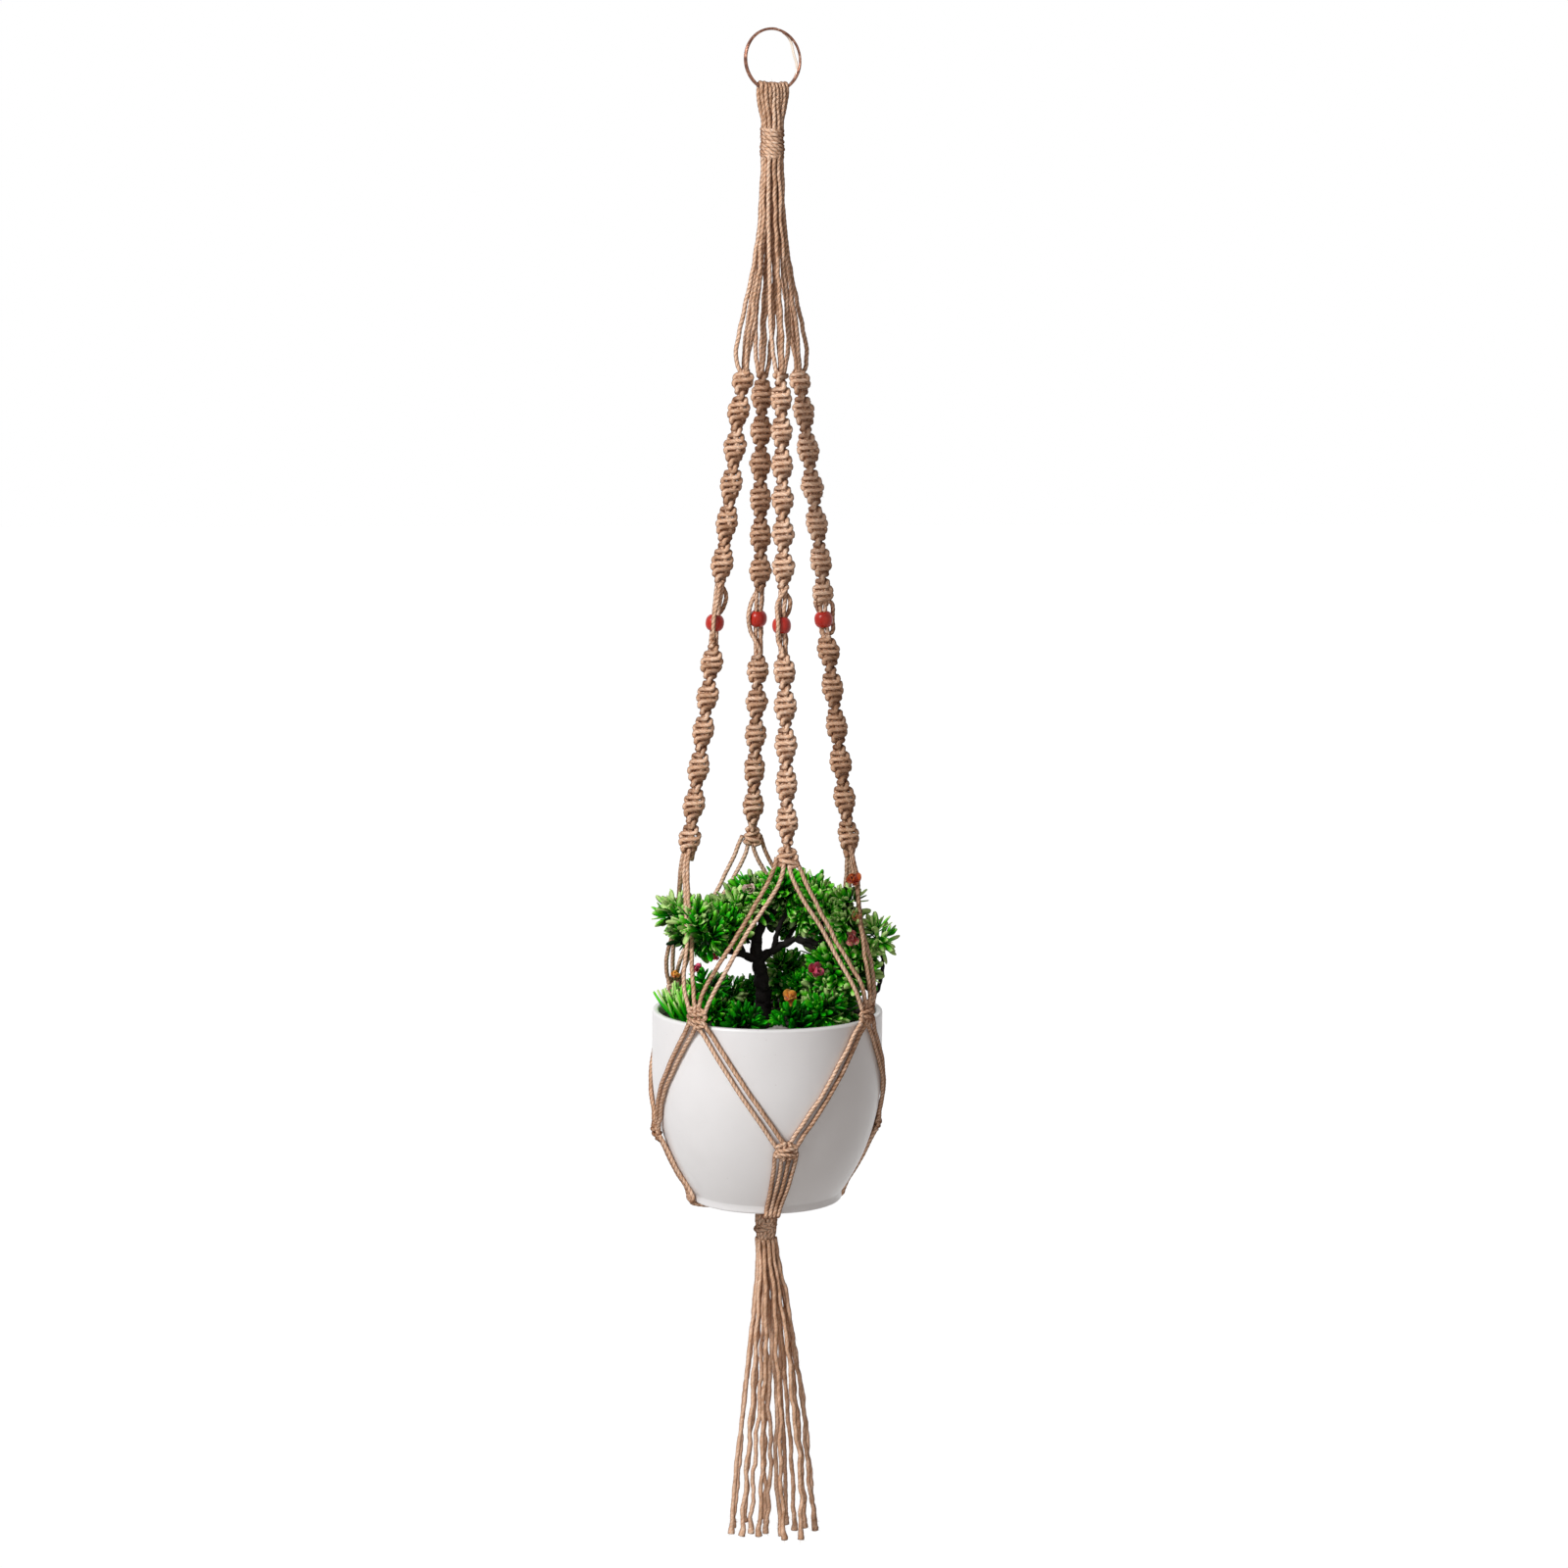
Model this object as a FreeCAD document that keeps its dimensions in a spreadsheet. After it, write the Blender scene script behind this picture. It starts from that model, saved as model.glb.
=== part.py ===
import FreeCAD, Part
import Sketcher
import math
import os
from FreeCAD import Placement, Rotation, Vector

# Hanging macrame planter: a split ring, a four-armed hanger knotted from jute cord,
# a ceramic pot with an artificial bonsai in its cradle, and a tassel of free cord ends.
# Millimetres. The origin is the point inside the top of the ring where a hook bears,
# +Z is up, and the four arms lie towards -Y (front), +X (right), +Y (back) and -X (left).

SIZES = [
    ("ring_bore", 38.8, "inner diameter of the hanging ring"),
    ("ring_turn", 15.0, "degrees by which the ring hangs turned out of the front arm's way"),
    ("ring_wire", 2.2, "thickness of the ring's wire"),
    ("cord_diameter", 3.2, "jute cord"),
    ("running_gap", 0.3, "gap left between pieces that move or touch along curved faces"),
    ("strand_pitch", 3.3, "spacing of cords that lie side by side"),
    ("bundle_radius", 6.4, "circle on which the twelve outer strands of a full bundle lie"),
    ("wrap_radius", 8.2, "radius of both wrapped gathering knots"),
    ("top_wrap_length", 22.0, "height of the gathering knot under the ring"),
    ("tail_wrap_length", 29.0, "height of the gathering knot under the pot"),
    ("top_wrap_drop", 62.0, "from the hook's bearing point down to the top gathering knot"),
    ("arm_drop", 227.0, "down to where the knotted arms start"),
    ("arm_spread", 20.0, "distance of the arms from the axis where they start"),
    ("bead_drop", 398.0, "down to the beads"),
    ("bead_spread", 38.1, "distance of the beads from the axis"),
    ("knot_rise", 116.0, "flat knots that end the arms, above the rim"),
    ("knot_spread", 57.0, "distance of the flat knots from the axis"),
    ("bead_stretch", 38.0, "length of bare cord that carries each bead"),
    ("bulge_pitch", 25.7, "length of one half turn of the spiral knotting"),
    ("bulge_radius", 7.1, "spiral knotting at its thickest"),
    ("neck_radius", 4.1, "spiral knotting at its thinnest"),
    ("bead_diameter", 12.4, "round bead"),
    ("bead_hole", 7.1, "hole through a bead"),
    ("flat_knot_width", 19.0, "flat knot at the foot of an arm"),
    ("flat_knot_height", 13.6, "flat knot, along the arm"),
    ("flat_knot_depth", 7.6, "flat knot, front to back"),
    ("pot_radius", 80.4, "pot, outside, at the rim"),
    ("rim_drop", 669.5, "from the hook's bearing point down to the pot's rim"),
    ("pot_height", 134.0, "rim to foot"),
    ("straight_wall", 40.5, "height of the upright part of the pot's wall"),
    ("flank_radius", 154.5, "curve of the pot's lower wall"),
    ("foot_height", 5.5, "upright edge of the pot's foot"),
    ("pot_wall", 4.5, "thickness of the wall"),
    ("pot_floor", 6.0, "thickness of the floor"),
    ("rim_round", 2.0, "rounding of the rim's edges"),
    ("foot_round", 1.6, "rounding of the foot's edge"),
    ("soil_depth", 8.0, "rim down to the soil"),
    ("rim_knot_width", 19.0, "net knot at the rim, along the rim"),
    ("rim_knot_height", 15.0, "net knot at the rim, height"),
    ("rim_knot_depth", 6.4, "net knot at the rim, thickness"),
    ("rim_knot_rise", 6.0, "middle of a rim knot above the rim"),
    ("side_knot_width", 20.0, "net knot on the pot's side, along the pot"),
    ("side_knot_height", 10.0, "net knot on the pot's side, height"),
    ("side_knot_depth", 8.0, "net knot on the pot's side, thickness"),
    ("side_knot_fall", 86.0, "middle of the side knots, below the rim"),
    ("arm_exit_near", 2.2, "net cords leave a flat knot this far from its middle"),
    ("arm_exit_far", 6.4, "the outer net cords leave a flat knot this far from its middle"),
    ("net_exit_near", 2.6, "net cords meet a net knot this far from its middle"),
    ("net_exit_far", 7.0, "the outer net cords meet a net knot this far from its middle"),
    ("cord_bury", 1.5, "length of cord end held inside a knot"),
    ("cradle_bend", 8.0, "length over which the cradle's cords turn under the foot"),
    ("cradle_meeting", 5.0, "distance of the inner cradle cords' ends from the axis"),
    ("bead_pass", 0.7, "slack with which cords pass a bead"),
    ("lead_bow", 3.4, "how far the outer cord of an arm bows out above the knotting"),
    ("lead_spread", 3.0, "how far the side cords of an arm bow aside above the knotting"),
    ("saddle_leg", 4.0, "height over which a loop's cord bends over the ring"),
    ("trunk_radius", 5.6, "bonsai trunk at the soil"),
    ("flower_radius", 3.2, "flower head"),
]

ARMS = [("front", -90.0), ("right", 0.0), ("back", 90.0), ("left", 180.0)]
CORNERS = [("front_right", -45.0), ("back_right", 45.0), ("back_left", 135.0), ("front_left", -135.0)]
UP = Vector(0, 0, 1)
HERE = Vector(0, 0, 0)

doc = FreeCAD.newDocument("HangingPlanter")
sheet = doc.addObject("Spreadsheet::Sheet", "Sizes")
for row, (alias, value, meaning) in enumerate(SIZES, start=1):
    sheet.set(f"A{row}", meaning)
    sheet.set(f"B{row}", str(value))
    sheet.setAlias(f"B{row}", alias)
doc.recompute()

nodes = []


def size(alias):
    """A driving dimension, read from the sheet."""
    return float(sheet.get(alias))


def value(formula):
    """What a formula of driving dimensions comes to."""
    return float(sheet.evalExpression(formula))


def keep(piece, name, placement=None):
    """Names a sub-part after its file and puts it in place."""
    piece.Label = name
    if placement is not None:
        piece.Placement = placement
    nodes.append(piece)
    return piece


def feature(name, shape, placement=None):
    """A sub-part whose shape follows a cord's route or a free form."""
    piece = doc.addObject("Part::Feature", name)
    piece.Shape = shape
    return keep(piece, name, placement)


def bind(piece, **formulas):
    """Ties properties of a piece to the sheet; __ stands for a dot."""
    for key, formula in formulas.items():
        piece.setExpression(key.replace("__", "."), formula)
    return piece


def turned(azimuth):
    return Placement(HERE, Rotation(UP, azimuth))


def polar(radius, azimuth, height):
    angle = math.radians(azimuth)
    return Vector(radius * math.cos(angle), radius * math.sin(angle), height)


# ---- cords: straight runs joined by tangent arcs ----------------------------------

CORD = size("cord_diameter")
GAP = size("running_gap")
PITCH = size("strand_pitch")
BURIED = size("cord_bury")
NESTING = 0.79  # rise of a cord that rides in the valley between two others, in pitches


def cord_wire(points):
    """Straight runs joined by arcs as large as the runs allow; returns wire and smallest radius."""
    edges = []
    radii = []
    start = points[0]
    for before, corner, after in zip(points, points[1:], points[2:]):
        back = before - corner
        ahead = after - corner
        turn = math.pi - back.getAngle(ahead)
        if turn < 0.002:
            continue
        reach = 0.45 * min(back.Length, ahead.Length)
        radius = reach / math.tan(turn / 2)
        arc_start = corner + back.normalize() * reach
        arc_end = corner + ahead.normalize() * reach
        bisector = (back + ahead).normalize()
        centre = corner + bisector * math.hypot(radius, reach)
        edges.append(Part.LineSegment(start, arc_start).toShape())
        edges.append(Part.Arc(arc_start, centre - bisector * radius, arc_end).toShape())
        radii.append(radius)
        start = arc_end
    edges.append(Part.LineSegment(start, points[-1]).toShape())
    return Part.Wire(edges), min(radii, default=math.inf)


def tube(points, diameter=CORD):
    """A round cord along a route; its volume has to be its section times its length."""
    wire, _ = cord_wire(points)
    ring = Part.Wire(Part.Circle(points[0], points[1] - points[0], diameter / 2).toShape())
    solid = wire.makePipeShell([ring], True, False)
    expected = math.pi * diameter ** 2 / 4 * wire.Length
    if abs(solid.Volume - expected) > 0.01 * expected:
        raise ValueError(f"cord at {points[0]}: volume {solid.Volume:.1f}, expected {expected:.1f}")
    return solid


def ball_depth(spot, radius):
    """How far from a ball's centre a cord's flat end has to stop to stay clear of the ball."""
    near = max(math.hypot(spot.x, spot.y) - CORD / 2, 0.0)
    return math.sqrt(max(radius ** 2 - near ** 2, 0.0))


# ---- hanging ring ------------------------------------------------------------------

ring = bind(
    doc.addObject("Part::Torus", "hanging_ring"),
    Radius1="(Sizes.ring_bore + Sizes.ring_wire) / 2",
    Radius2="Sizes.ring_wire / 2",
    Placement__Base__z="-Sizes.ring_bore / 2",
)
ring.Placement = Placement(HERE, Rotation(UP, size("ring_turn")) * Rotation(Vector(1, 0, 0), 90))
keep(ring, "hanging_ring")
RING_RADIUS = (size("ring_bore") + size("ring_wire")) / 2
RING_CENTRE = -size("ring_bore") / 2

# ---- gathering knots: round-ended, so that cords can swing about either end ------------


def wrap_knot(name, top, length):
    """A wrapped knot with ball ends; returns it with the centres of its two balls."""
    barrel = bind(doc.addObject("Part::Cylinder", name + "_barrel"), Radius="Sizes.wrap_radius")
    barrel.setExpression("Height", f"{length} - 2 * Sizes.wrap_radius")
    barrel.setExpression("Placement.Base.z", f"-({top}) - {length} + Sizes.wrap_radius")
    balls = []
    for end, level in (("upper", f"-({top}) - Sizes.wrap_radius"),
                       ("lower", f"-({top}) - {length} + Sizes.wrap_radius")):
        ball = bind(doc.addObject("Part::Sphere", f"{name}_{end}"), Radius="Sizes.wrap_radius")
        ball.setExpression("Placement.Base.z", level)
        balls.append(ball)
    knot = doc.addObject("Part::MultiFuse", name)
    knot.Shapes = [barrel] + balls
    return keep(knot, name)


# The tail knot's upper ball nests among the inner ends of the cradle's cords under the pot.
NEAREST_CORD = "(Sizes.cradle_meeting^2 + (Sizes.strand_pitch / 2)^2)"
TAIL_TOP_DROP = (
    "Sizes.rim_drop + Sizes.pot_height + Sizes.running_gap + Sizes.cord_diameter - Sizes.wrap_radius"
    f" + sqrt((Sizes.wrap_radius + Sizes.running_gap)^2 - {NEAREST_CORD})"
)
wrap_knot("top_wrap_knot", "Sizes.top_wrap_drop", "Sizes.top_wrap_length")
wrap_knot("tail_wrap_knot", TAIL_TOP_DROP, "Sizes.tail_wrap_length")
WRAP = size("wrap_radius")
POT_BASE = -size("rim_drop") - size("pot_height")
CRADLE_LEVEL = POT_BASE - GAP - CORD / 2
HEAD_PIVOT = -size("top_wrap_drop") - WRAP
TWIST_LEVEL = -size("top_wrap_drop") - size("top_wrap_length")
TAIL_TOP = -value(TAIL_TOP_DROP)
TAIL_PIVOT = TAIL_TOP - WRAP
TASSEL_PIVOT = TAIL_TOP - size("tail_wrap_length") + WRAP

# ---- cord loops over the ring --------------------------------------------------------

INNER_SADDLE = size("ring_wire") / 2 + GAP + CORD / 2
OUTER_SADDLE = INNER_SADDLE + NESTING * PITCH
# each loop: place along the ring's foot, rides on the wire or on its neighbours, azimuth and
# circle (outer or inner) where its front leg enters the gathering knot
LOOPS = [
    (-10.0, INNER_SADDLE, -165, "outer"), (-6.8, OUTER_SADDLE, -135, "outer"),
    (-4.2, INNER_SADDLE, -135, "inner"), (-1.65, OUTER_SADDLE, -105, "outer"),
    (1.65, OUTER_SADDLE, -75, "outer"), (4.2, INNER_SADDLE, -45, "inner"),
    (6.8, OUTER_SADDLE, -45, "outer"), (10.0, INNER_SADDLE, -15, "outer"),
]


def ring_loop(place, saddle, azimuth, circle):
    """One folded cord: up behind the ring, over its wire and down in front."""
    wire_height = RING_CENTRE - math.sqrt(RING_RADIUS ** 2 - place ** 2)
    crown = wire_height + saddle * RING_RADIUS / math.sqrt(RING_RADIUS ** 2 - place ** 2)
    radius = size("bundle_radius") if circle == "outer" else PITCH / math.sqrt(2)
    spot = polar(radius, azimuth, 0)
    foot = HEAD_PIVOT + ball_depth(spot, WRAP + GAP)
    front = [Vector(spot.x, spot.y, foot), Vector(place, -saddle, wire_height - size("saddle_leg"))]
    front.append(Vector(place, -saddle, crown))
    back = [Vector(point.x, -point.y, point.z) for point in reversed(front)]
    return tube(front + back)


feature("ring_loops", Part.makeCompound([ring_loop(*loop) for loop in LOOPS]), turned(size("ring_turn")))

# ---- arms, drawn once towards +X and turned into place --------------------------------

ARM_TOP = Vector(size("arm_spread"), 0, -size("arm_drop"))
BEAD_SPOT = Vector(size("bead_spread"), 0, -size("bead_drop"))
ARM_FOOT = Vector(size("knot_spread"), 0, size("knot_rise") - size("rim_drop"))
UPPER_WAY = (BEAD_SPOT - ARM_TOP).normalize()
LOWER_WAY = (ARM_FOOT - BEAD_SPOT).normalize()
STRETCH_TOP = BEAD_SPOT - UPPER_WAY * (size("bead_stretch") / 2)
STRETCH_FOOT = BEAD_SPOT + LOWER_WAY * (size("bead_stretch") / 2)
BEAD_WAY = (STRETCH_FOOT - STRETCH_TOP).normalize()
BEAD_CENTRE = (STRETCH_TOP + STRETCH_FOOT) * 0.5
KNOT_TOP = ARM_FOOT - LOWER_WAY * (size("flat_knot_height") / 2)
KNOT_BOTTOM = ARM_FOOT + LOWER_WAY * (size("flat_knot_height") / 2)
SIDEWAYS = Vector(0, 1, 0)


def across(way):
    """The direction at right angles to an arm, away from the hanger's axis."""
    return SIDEWAYS.cross(way).normalize() * -1


def spiral_knotting(start, end):
    """A sinnet of half knots: one bulge for each half turn of the spiral."""
    length = (end - start).Length
    count = max(1, round(length / size("bulge_pitch")))
    pitch = length / count
    neck = size("neck_radius")
    edges = [Part.LineSegment(Vector(0, 0, 0), Vector(neck, 0, 0)).toShape()]
    for turn in range(count):
        low = turn * pitch
        thickest = Vector(size("bulge_radius"), 0, low + pitch / 2)
        edges.append(Part.Arc(Vector(neck, 0, low), thickest, Vector(neck, 0, low + pitch)).toShape())
    edges.append(Part.LineSegment(Vector(neck, 0, length), Vector(0, 0, length)).toShape())
    edges.append(Part.LineSegment(Vector(0, 0, length), Vector(0, 0, 0)).toShape())
    solid = Part.Face(Part.Wire(edges)).revolve(Vector(0, 0, 0), UP, 360)
    solid.Placement = Placement(start, Rotation(UP, end - start))
    return solid


def flat_knot():
    """The square knot that ends an arm, a rounded block across the cords."""
    width = size("flat_knot_width")
    depth = size("flat_knot_depth")
    height = size("flat_knot_height")
    block = Part.makeBox(depth, width, height, Vector(-depth / 2, -width / 2, 0))
    block = block.makeFillet(min(depth, height) * 0.3, block.Edges)
    block.Placement = Placement(KNOT_TOP, Rotation(UP, LOWER_WAY))
    return block


def lead_cords():
    """Four cords from the gathering knot to the top of an arm; the outer ones bow out."""
    start = TWIST_LEVEL - GAP
    out = across(UPPER_WAY)
    inner = PITCH / math.sqrt(2)
    bow = size("lead_bow")
    aside = size("lead_spread")
    middle_share, late_share = 0.45, 0.84
    # each cord: where it starts, its place in the arm (sideways, outward), its bow out and aside
    starts = (
        (polar(size("bundle_radius"), 0, start), 0, 1, bow, 0.0),
        (polar(inner, 0, start), 0, -1, 0.0, 0.0),
        (polar(size("bundle_radius"), 30, start), 1, 0, 0.3 * bow, aside),
        (polar(size("bundle_radius"), -30, start), -1, 0, 0.3 * bow, -aside),
    )
    cords = []
    for spot, side, lift, outward, sideward in starts:
        end = ARM_TOP + SIDEWAYS * (side * inner) + out * (lift * inner)
        middle = spot + (end - spot) * middle_share + SIDEWAYS * (sideward / 2)
        late = spot + (end - spot) * late_share + SIDEWAYS * sideward + out * outward
        last = end + UPPER_WAY * BURIED
        cords.append(tube([spot, middle, late, last] if outward else [spot, last]))
    return cords


def bead_cords():
    """Two cords through a bead, and two that pass around it on either side."""
    out = across(BEAD_WAY)
    top = STRETCH_TOP - BEAD_WAY * BURIED
    foot = STRETCH_FOOT + BEAD_WAY * BURIED
    cords = [tube([top + out * (sign * PITCH / 2), foot + out * (sign * PITCH / 2)]) for sign in (1, -1)]
    passing = size("bead_diameter") / 2 + GAP + CORD / 2 + size("bead_pass")
    beside = PITCH
    half = (foot - top).Length / 2
    # shares of the half length, with the distance from the bead's axis at each
    upper = ((-1.0, beside - GAP), (-0.8, beside), (-0.28, passing))
    lower = tuple((-share, aside) for share, aside in reversed(upper))
    for sign in (1, -1):
        route = []
        for share, aside in upper + lower:
            route.append(BEAD_CENTRE + BEAD_WAY * (share * half) + SIDEWAYS * (sign * aside))
        cords.append(tube(route))
    return cords


def bead(name, azimuth):
    """A drilled ball that turns on its cords."""
    ball = bind(doc.addObject("Part::Sphere", name + "_ball"), Radius="Sizes.bead_diameter / 2")
    drill = bind(
        doc.addObject("Part::Cylinder", name + "_drill"),
        Radius="Sizes.bead_hole / 2",
        Height="2 * Sizes.bead_diameter",
        Placement__Base__z="-Sizes.bead_diameter",
    )
    drilled = doc.addObject("Part::Cut", name)
    drilled.Base = ball
    drilled.Tool = drill
    lean = Placement(BEAD_CENTRE, Rotation(UP, BEAD_WAY))
    keep(drilled, name, turned(azimuth).multiply(lean))


knotting = Part.makeCompound(
    [spiral_knotting(ARM_TOP, STRETCH_TOP), spiral_knotting(STRETCH_FOOT, KNOT_TOP), flat_knot()]
)
arm_cords = Part.makeCompound(lead_cords() + bead_cords())
for side, azimuth in ARMS:
    feature(f"arm_cords_{side}", arm_cords, turned(azimuth))
    feature(f"knotted_arm_{side}", knotting, turned(azimuth))
    bead(f"bead_{side}", azimuth)

# ---- pot and soil -----------------------------------------------------------------------

RIM = -size("rim_drop")
FLANK_TOP = RIM - size("straight_wall")
FLANK_CENTRE = size("pot_radius") - size("flank_radius")


def wall_radius(height, inset=0.0):
    """Outer radius of the pot at a height, or of a surface inset from it."""
    curve = size("flank_radius") - inset
    if height >= FLANK_TOP:
        return FLANK_CENTRE + curve
    lowest = max(height, POT_BASE + size("foot_height"))
    return FLANK_CENTRE + math.sqrt(curve ** 2 - (FLANK_TOP - lowest) ** 2)


def half_section(body, name, top, bottom, inset="0", foot=None):
    """A half section against the axis, drawn from formulas for its depths below the hook."""
    sketch = body.newObject("Sketcher::SketchObject", name)
    plane = next(item for item in body.Origin.OriginFeatures if item.Role == "XZ_Plane")
    sketch.AttachmentSupport = (plane, [""])
    sketch.MapMode = "FlatFace"
    lowest = foot or bottom
    radius = wall_radius(-value(lowest), value(inset))
    curve = size("flank_radius") - value(inset)
    low_angle = -math.asin((-value(lowest) - FLANK_TOP) / -curve)
    wall = FLANK_CENTRE + curve
    chain = [Part.LineSegment(Vector(0, -value(bottom), 0), Vector(radius, -value(bottom), 0))]
    if foot:
        chain.append(Part.LineSegment(Vector(radius, -value(bottom), 0), Vector(radius, -value(foot), 0)))
    flank = len(chain)
    circle = Part.Circle(Vector(FLANK_CENTRE, FLANK_TOP, 0), UP, curve)
    chain.append(Part.ArcOfCircle(circle, low_angle, 0.0))
    chain.append(Part.LineSegment(Vector(wall, FLANK_TOP, 0), Vector(wall, -value(top), 0)))
    chain.append(Part.LineSegment(Vector(wall, -value(top), 0), Vector(0, -value(top), 0)))
    chain.append(Part.LineSegment(Vector(0, -value(top), 0), Vector(0, -value(bottom), 0)))
    sketch.addGeometry(chain, False)
    rule = Sketcher.Constraint
    rules = [rule("Coincident", line, 2, (line + 1) % len(chain), 1) for line in range(len(chain))]
    rules += [rule("Horizontal", 0), rule("Horizontal", flank, 3, flank, 2), rule("Vertical", flank + 1)]
    rules += [rule("Horizontal", flank + 2), rule("PointOnObject", 0, 1, -2)]
    rules.append(rule("PointOnObject", flank + 3, 1, -2))
    if foot:
        rules.append(rule("Vertical", 1))
    sketch.addConstraint(rules)
    sized = [
        ("bottom", "DistanceY", (0, 1, -1, 1), bottom),
        ("top", "DistanceY", (flank + 2, 1, -1, 1), top),
        ("flank_top", "DistanceY", (flank, 3, -1, 1), "Sizes.rim_drop + Sizes.straight_wall"),
        ("flank_centre", "DistanceX", (flank, 3, -1, 1), "Sizes.flank_radius - Sizes.pot_radius"),
        ("flank_curve", "Radius", (flank,), f"Sizes.flank_radius - ({inset})"),
    ]
    if foot:
        sized.append(("foot", "DistanceY", (1, 2, -1, 1), foot))
    for label, kind, places, formula in sized:
        number = sketch.addConstraint(rule(kind, *places, value(formula)))
        sketch.renameConstraint(number, label)
        sketch.setExpression(f"Constraints.{label}", formula)
    return sketch


def spin(body, kind, name, sketch):
    """A full turn of a half section about the pot's axis, added or cut away."""
    turn = body.newObject(f"PartDesign::{kind}", name)
    turn.Profile = sketch
    turn.ReferenceAxis = (sketch, ["V_Axis"])
    turn.Angle = 360
    doc.recompute()
    return turn


def round_edges(body, name, base, level, radius, formula):
    """Rounds the circular edges of the body that lie at one level."""
    edges = [f"Edge{number}" for number, edge in enumerate(base.Shape.Edges, start=1)
             if abs(edge.BoundBox.ZMin - level) < 0.01 and abs(edge.BoundBox.ZMax - level) < 0.01]
    rounding = body.newObject("PartDesign::Fillet", name)
    rounding.Base = (base, edges)
    rounding.Radius = radius
    rounding.setExpression("Radius", formula)
    doc.recompute()
    return rounding


FOOT = "Sizes.rim_drop + Sizes.pot_height"
FLOOR = FOOT + " - Sizes.pot_floor"
pot = doc.addObject("PartDesign::Body", "plant_pot")
outside = half_section(pot, "pot_outside", "Sizes.rim_drop", FOOT, foot=FOOT + " - Sizes.foot_height")
blank = spin(pot, "Revolution", "pot_blank", outside)
inside = half_section(pot, "pot_inside", "Sizes.rim_drop", FLOOR, inset="Sizes.pot_wall")
hollow = spin(pot, "Groove", "pot_hollow", inside)
if hollow.Shape.Volume > 0.5 * blank.Shape.Volume:
    raise ValueError("the pot was not hollowed")
rounded_rim = round_edges(pot, "pot_rim", hollow, RIM, size("rim_round"), "Sizes.rim_round")
round_edges(pot, "pot_foot", rounded_rim, POT_BASE, size("foot_round"), "Sizes.foot_round")
keep(pot, "plant_pot")

soil = doc.addObject("PartDesign::Body", "soil_filling")
SOIL_LEVEL = "Sizes.rim_drop + Sizes.soil_depth"
filling = half_section(soil, "soil_section", SOIL_LEVEL, FLOOR, inset="Sizes.pot_wall + Sizes.running_gap")
spin(soil, "Revolution", "soil_turned", filling)
keep(soil, "soil_filling")
SOIL = RIM - size("soil_depth")

# ---- net knots on the pot ------------------------------------------------------------------


def sector_knot(name, azimuth, inner, width, height, depth, middle_drop):
    """A knot lying on the pot: a block bent to the wall, given by formulas."""
    angle = f"{width} / ({inner}) * 180 / pi"
    block = doc.addObject("Part::Cylinder", name + "_block")
    core = doc.addObject("Part::Cylinder", name + "_core")
    for solid, radius in ((block, f"{inner} + {depth}"), (core, inner)):
        solid.setExpression("Radius", radius)
        solid.setExpression("Height", height)
        solid.setExpression("Placement.Base.z", f"-({middle_drop}) - {height} / 2")
    block.setExpression("Angle", angle)
    knot = doc.addObject("Part::Cut", name)
    knot.Base = block
    knot.Tool = core
    keep(knot, name, turned(azimuth - value(angle) / 2))


RIM_SEAT = "Sizes.pot_radius + Sizes.running_gap"
RIM_KNOT_DROP = "Sizes.rim_drop - Sizes.rim_knot_rise"
SIDE_KNOT_DROP = "Sizes.rim_drop + Sizes.side_knot_fall"
SIDE_KNOT_TOP = SIDE_KNOT_DROP + " - Sizes.side_knot_height / 2"
SIDE_SEAT = (
    "Sizes.pot_radius - Sizes.flank_radius + Sizes.running_gap"
    f" + sqrt(Sizes.flank_radius^2 - ({SIDE_KNOT_TOP} - Sizes.rim_drop - Sizes.straight_wall)^2)"
)
for side, azimuth in CORNERS:
    sector_knot(f"rim_knot_{side}", azimuth, RIM_SEAT, "Sizes.rim_knot_width",
                "Sizes.rim_knot_height", "Sizes.rim_knot_depth", RIM_KNOT_DROP)
for side, azimuth in ARMS:
    sector_knot(f"side_knot_{side}", azimuth, SIDE_SEAT, "Sizes.side_knot_width",
                "Sizes.side_knot_height", "Sizes.side_knot_depth", SIDE_KNOT_DROP)

# ---- net cords, drawn once and turned into place -----------------------------------------------

RIM_KNOT_MIDDLE = value(RIM_SEAT) + size("rim_knot_depth") / 2
RIM_KNOT_TOP = -value(RIM_KNOT_DROP) + size("rim_knot_height") / 2
RIM_KNOT_FOOT = RIM_KNOT_TOP - size("rim_knot_height")
SIDE_KNOT_MIDDLE = value(SIDE_SEAT) + size("side_knot_depth") / 2
SIDE_KNOT_HEAD = -value(SIDE_KNOT_TOP)
SIDE_KNOT_FOOT = SIDE_KNOT_HEAD - size("side_knot_height")
LYING = GAP + CORD / 2
ROUTE_SLACK = 0.3  # an arc passes inside its corner by less than this
ARM_EXITS = (size("arm_exit_near"), size("arm_exit_far"))
NET_EXITS = (size("net_exit_near"), size("net_exit_far"))


def along(radius, azimuth, shift, height):
    """A point on a circle, shifted sideways along it by so many millimetres."""
    return polar(radius, azimuth + math.degrees(shift / radius), height)


def upper_net():
    """Four cords between the flat knots of two arms and the rim knot between them."""
    cords = []
    start = KNOT_BOTTOM - LOWER_WAY * BURIED
    for side in (1, -1):
        for leaving, arriving in zip(ARM_EXITS, reversed(NET_EXITS)):
            arm = turned(-45 * side).multVec(start + SIDEWAYS * (side * leaving))
            foot = along(RIM_KNOT_MIDDLE, 0, -side * arriving, RIM_KNOT_TOP - BURIED)
            cords.append(tube([arm, foot]))
    return cords


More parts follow.
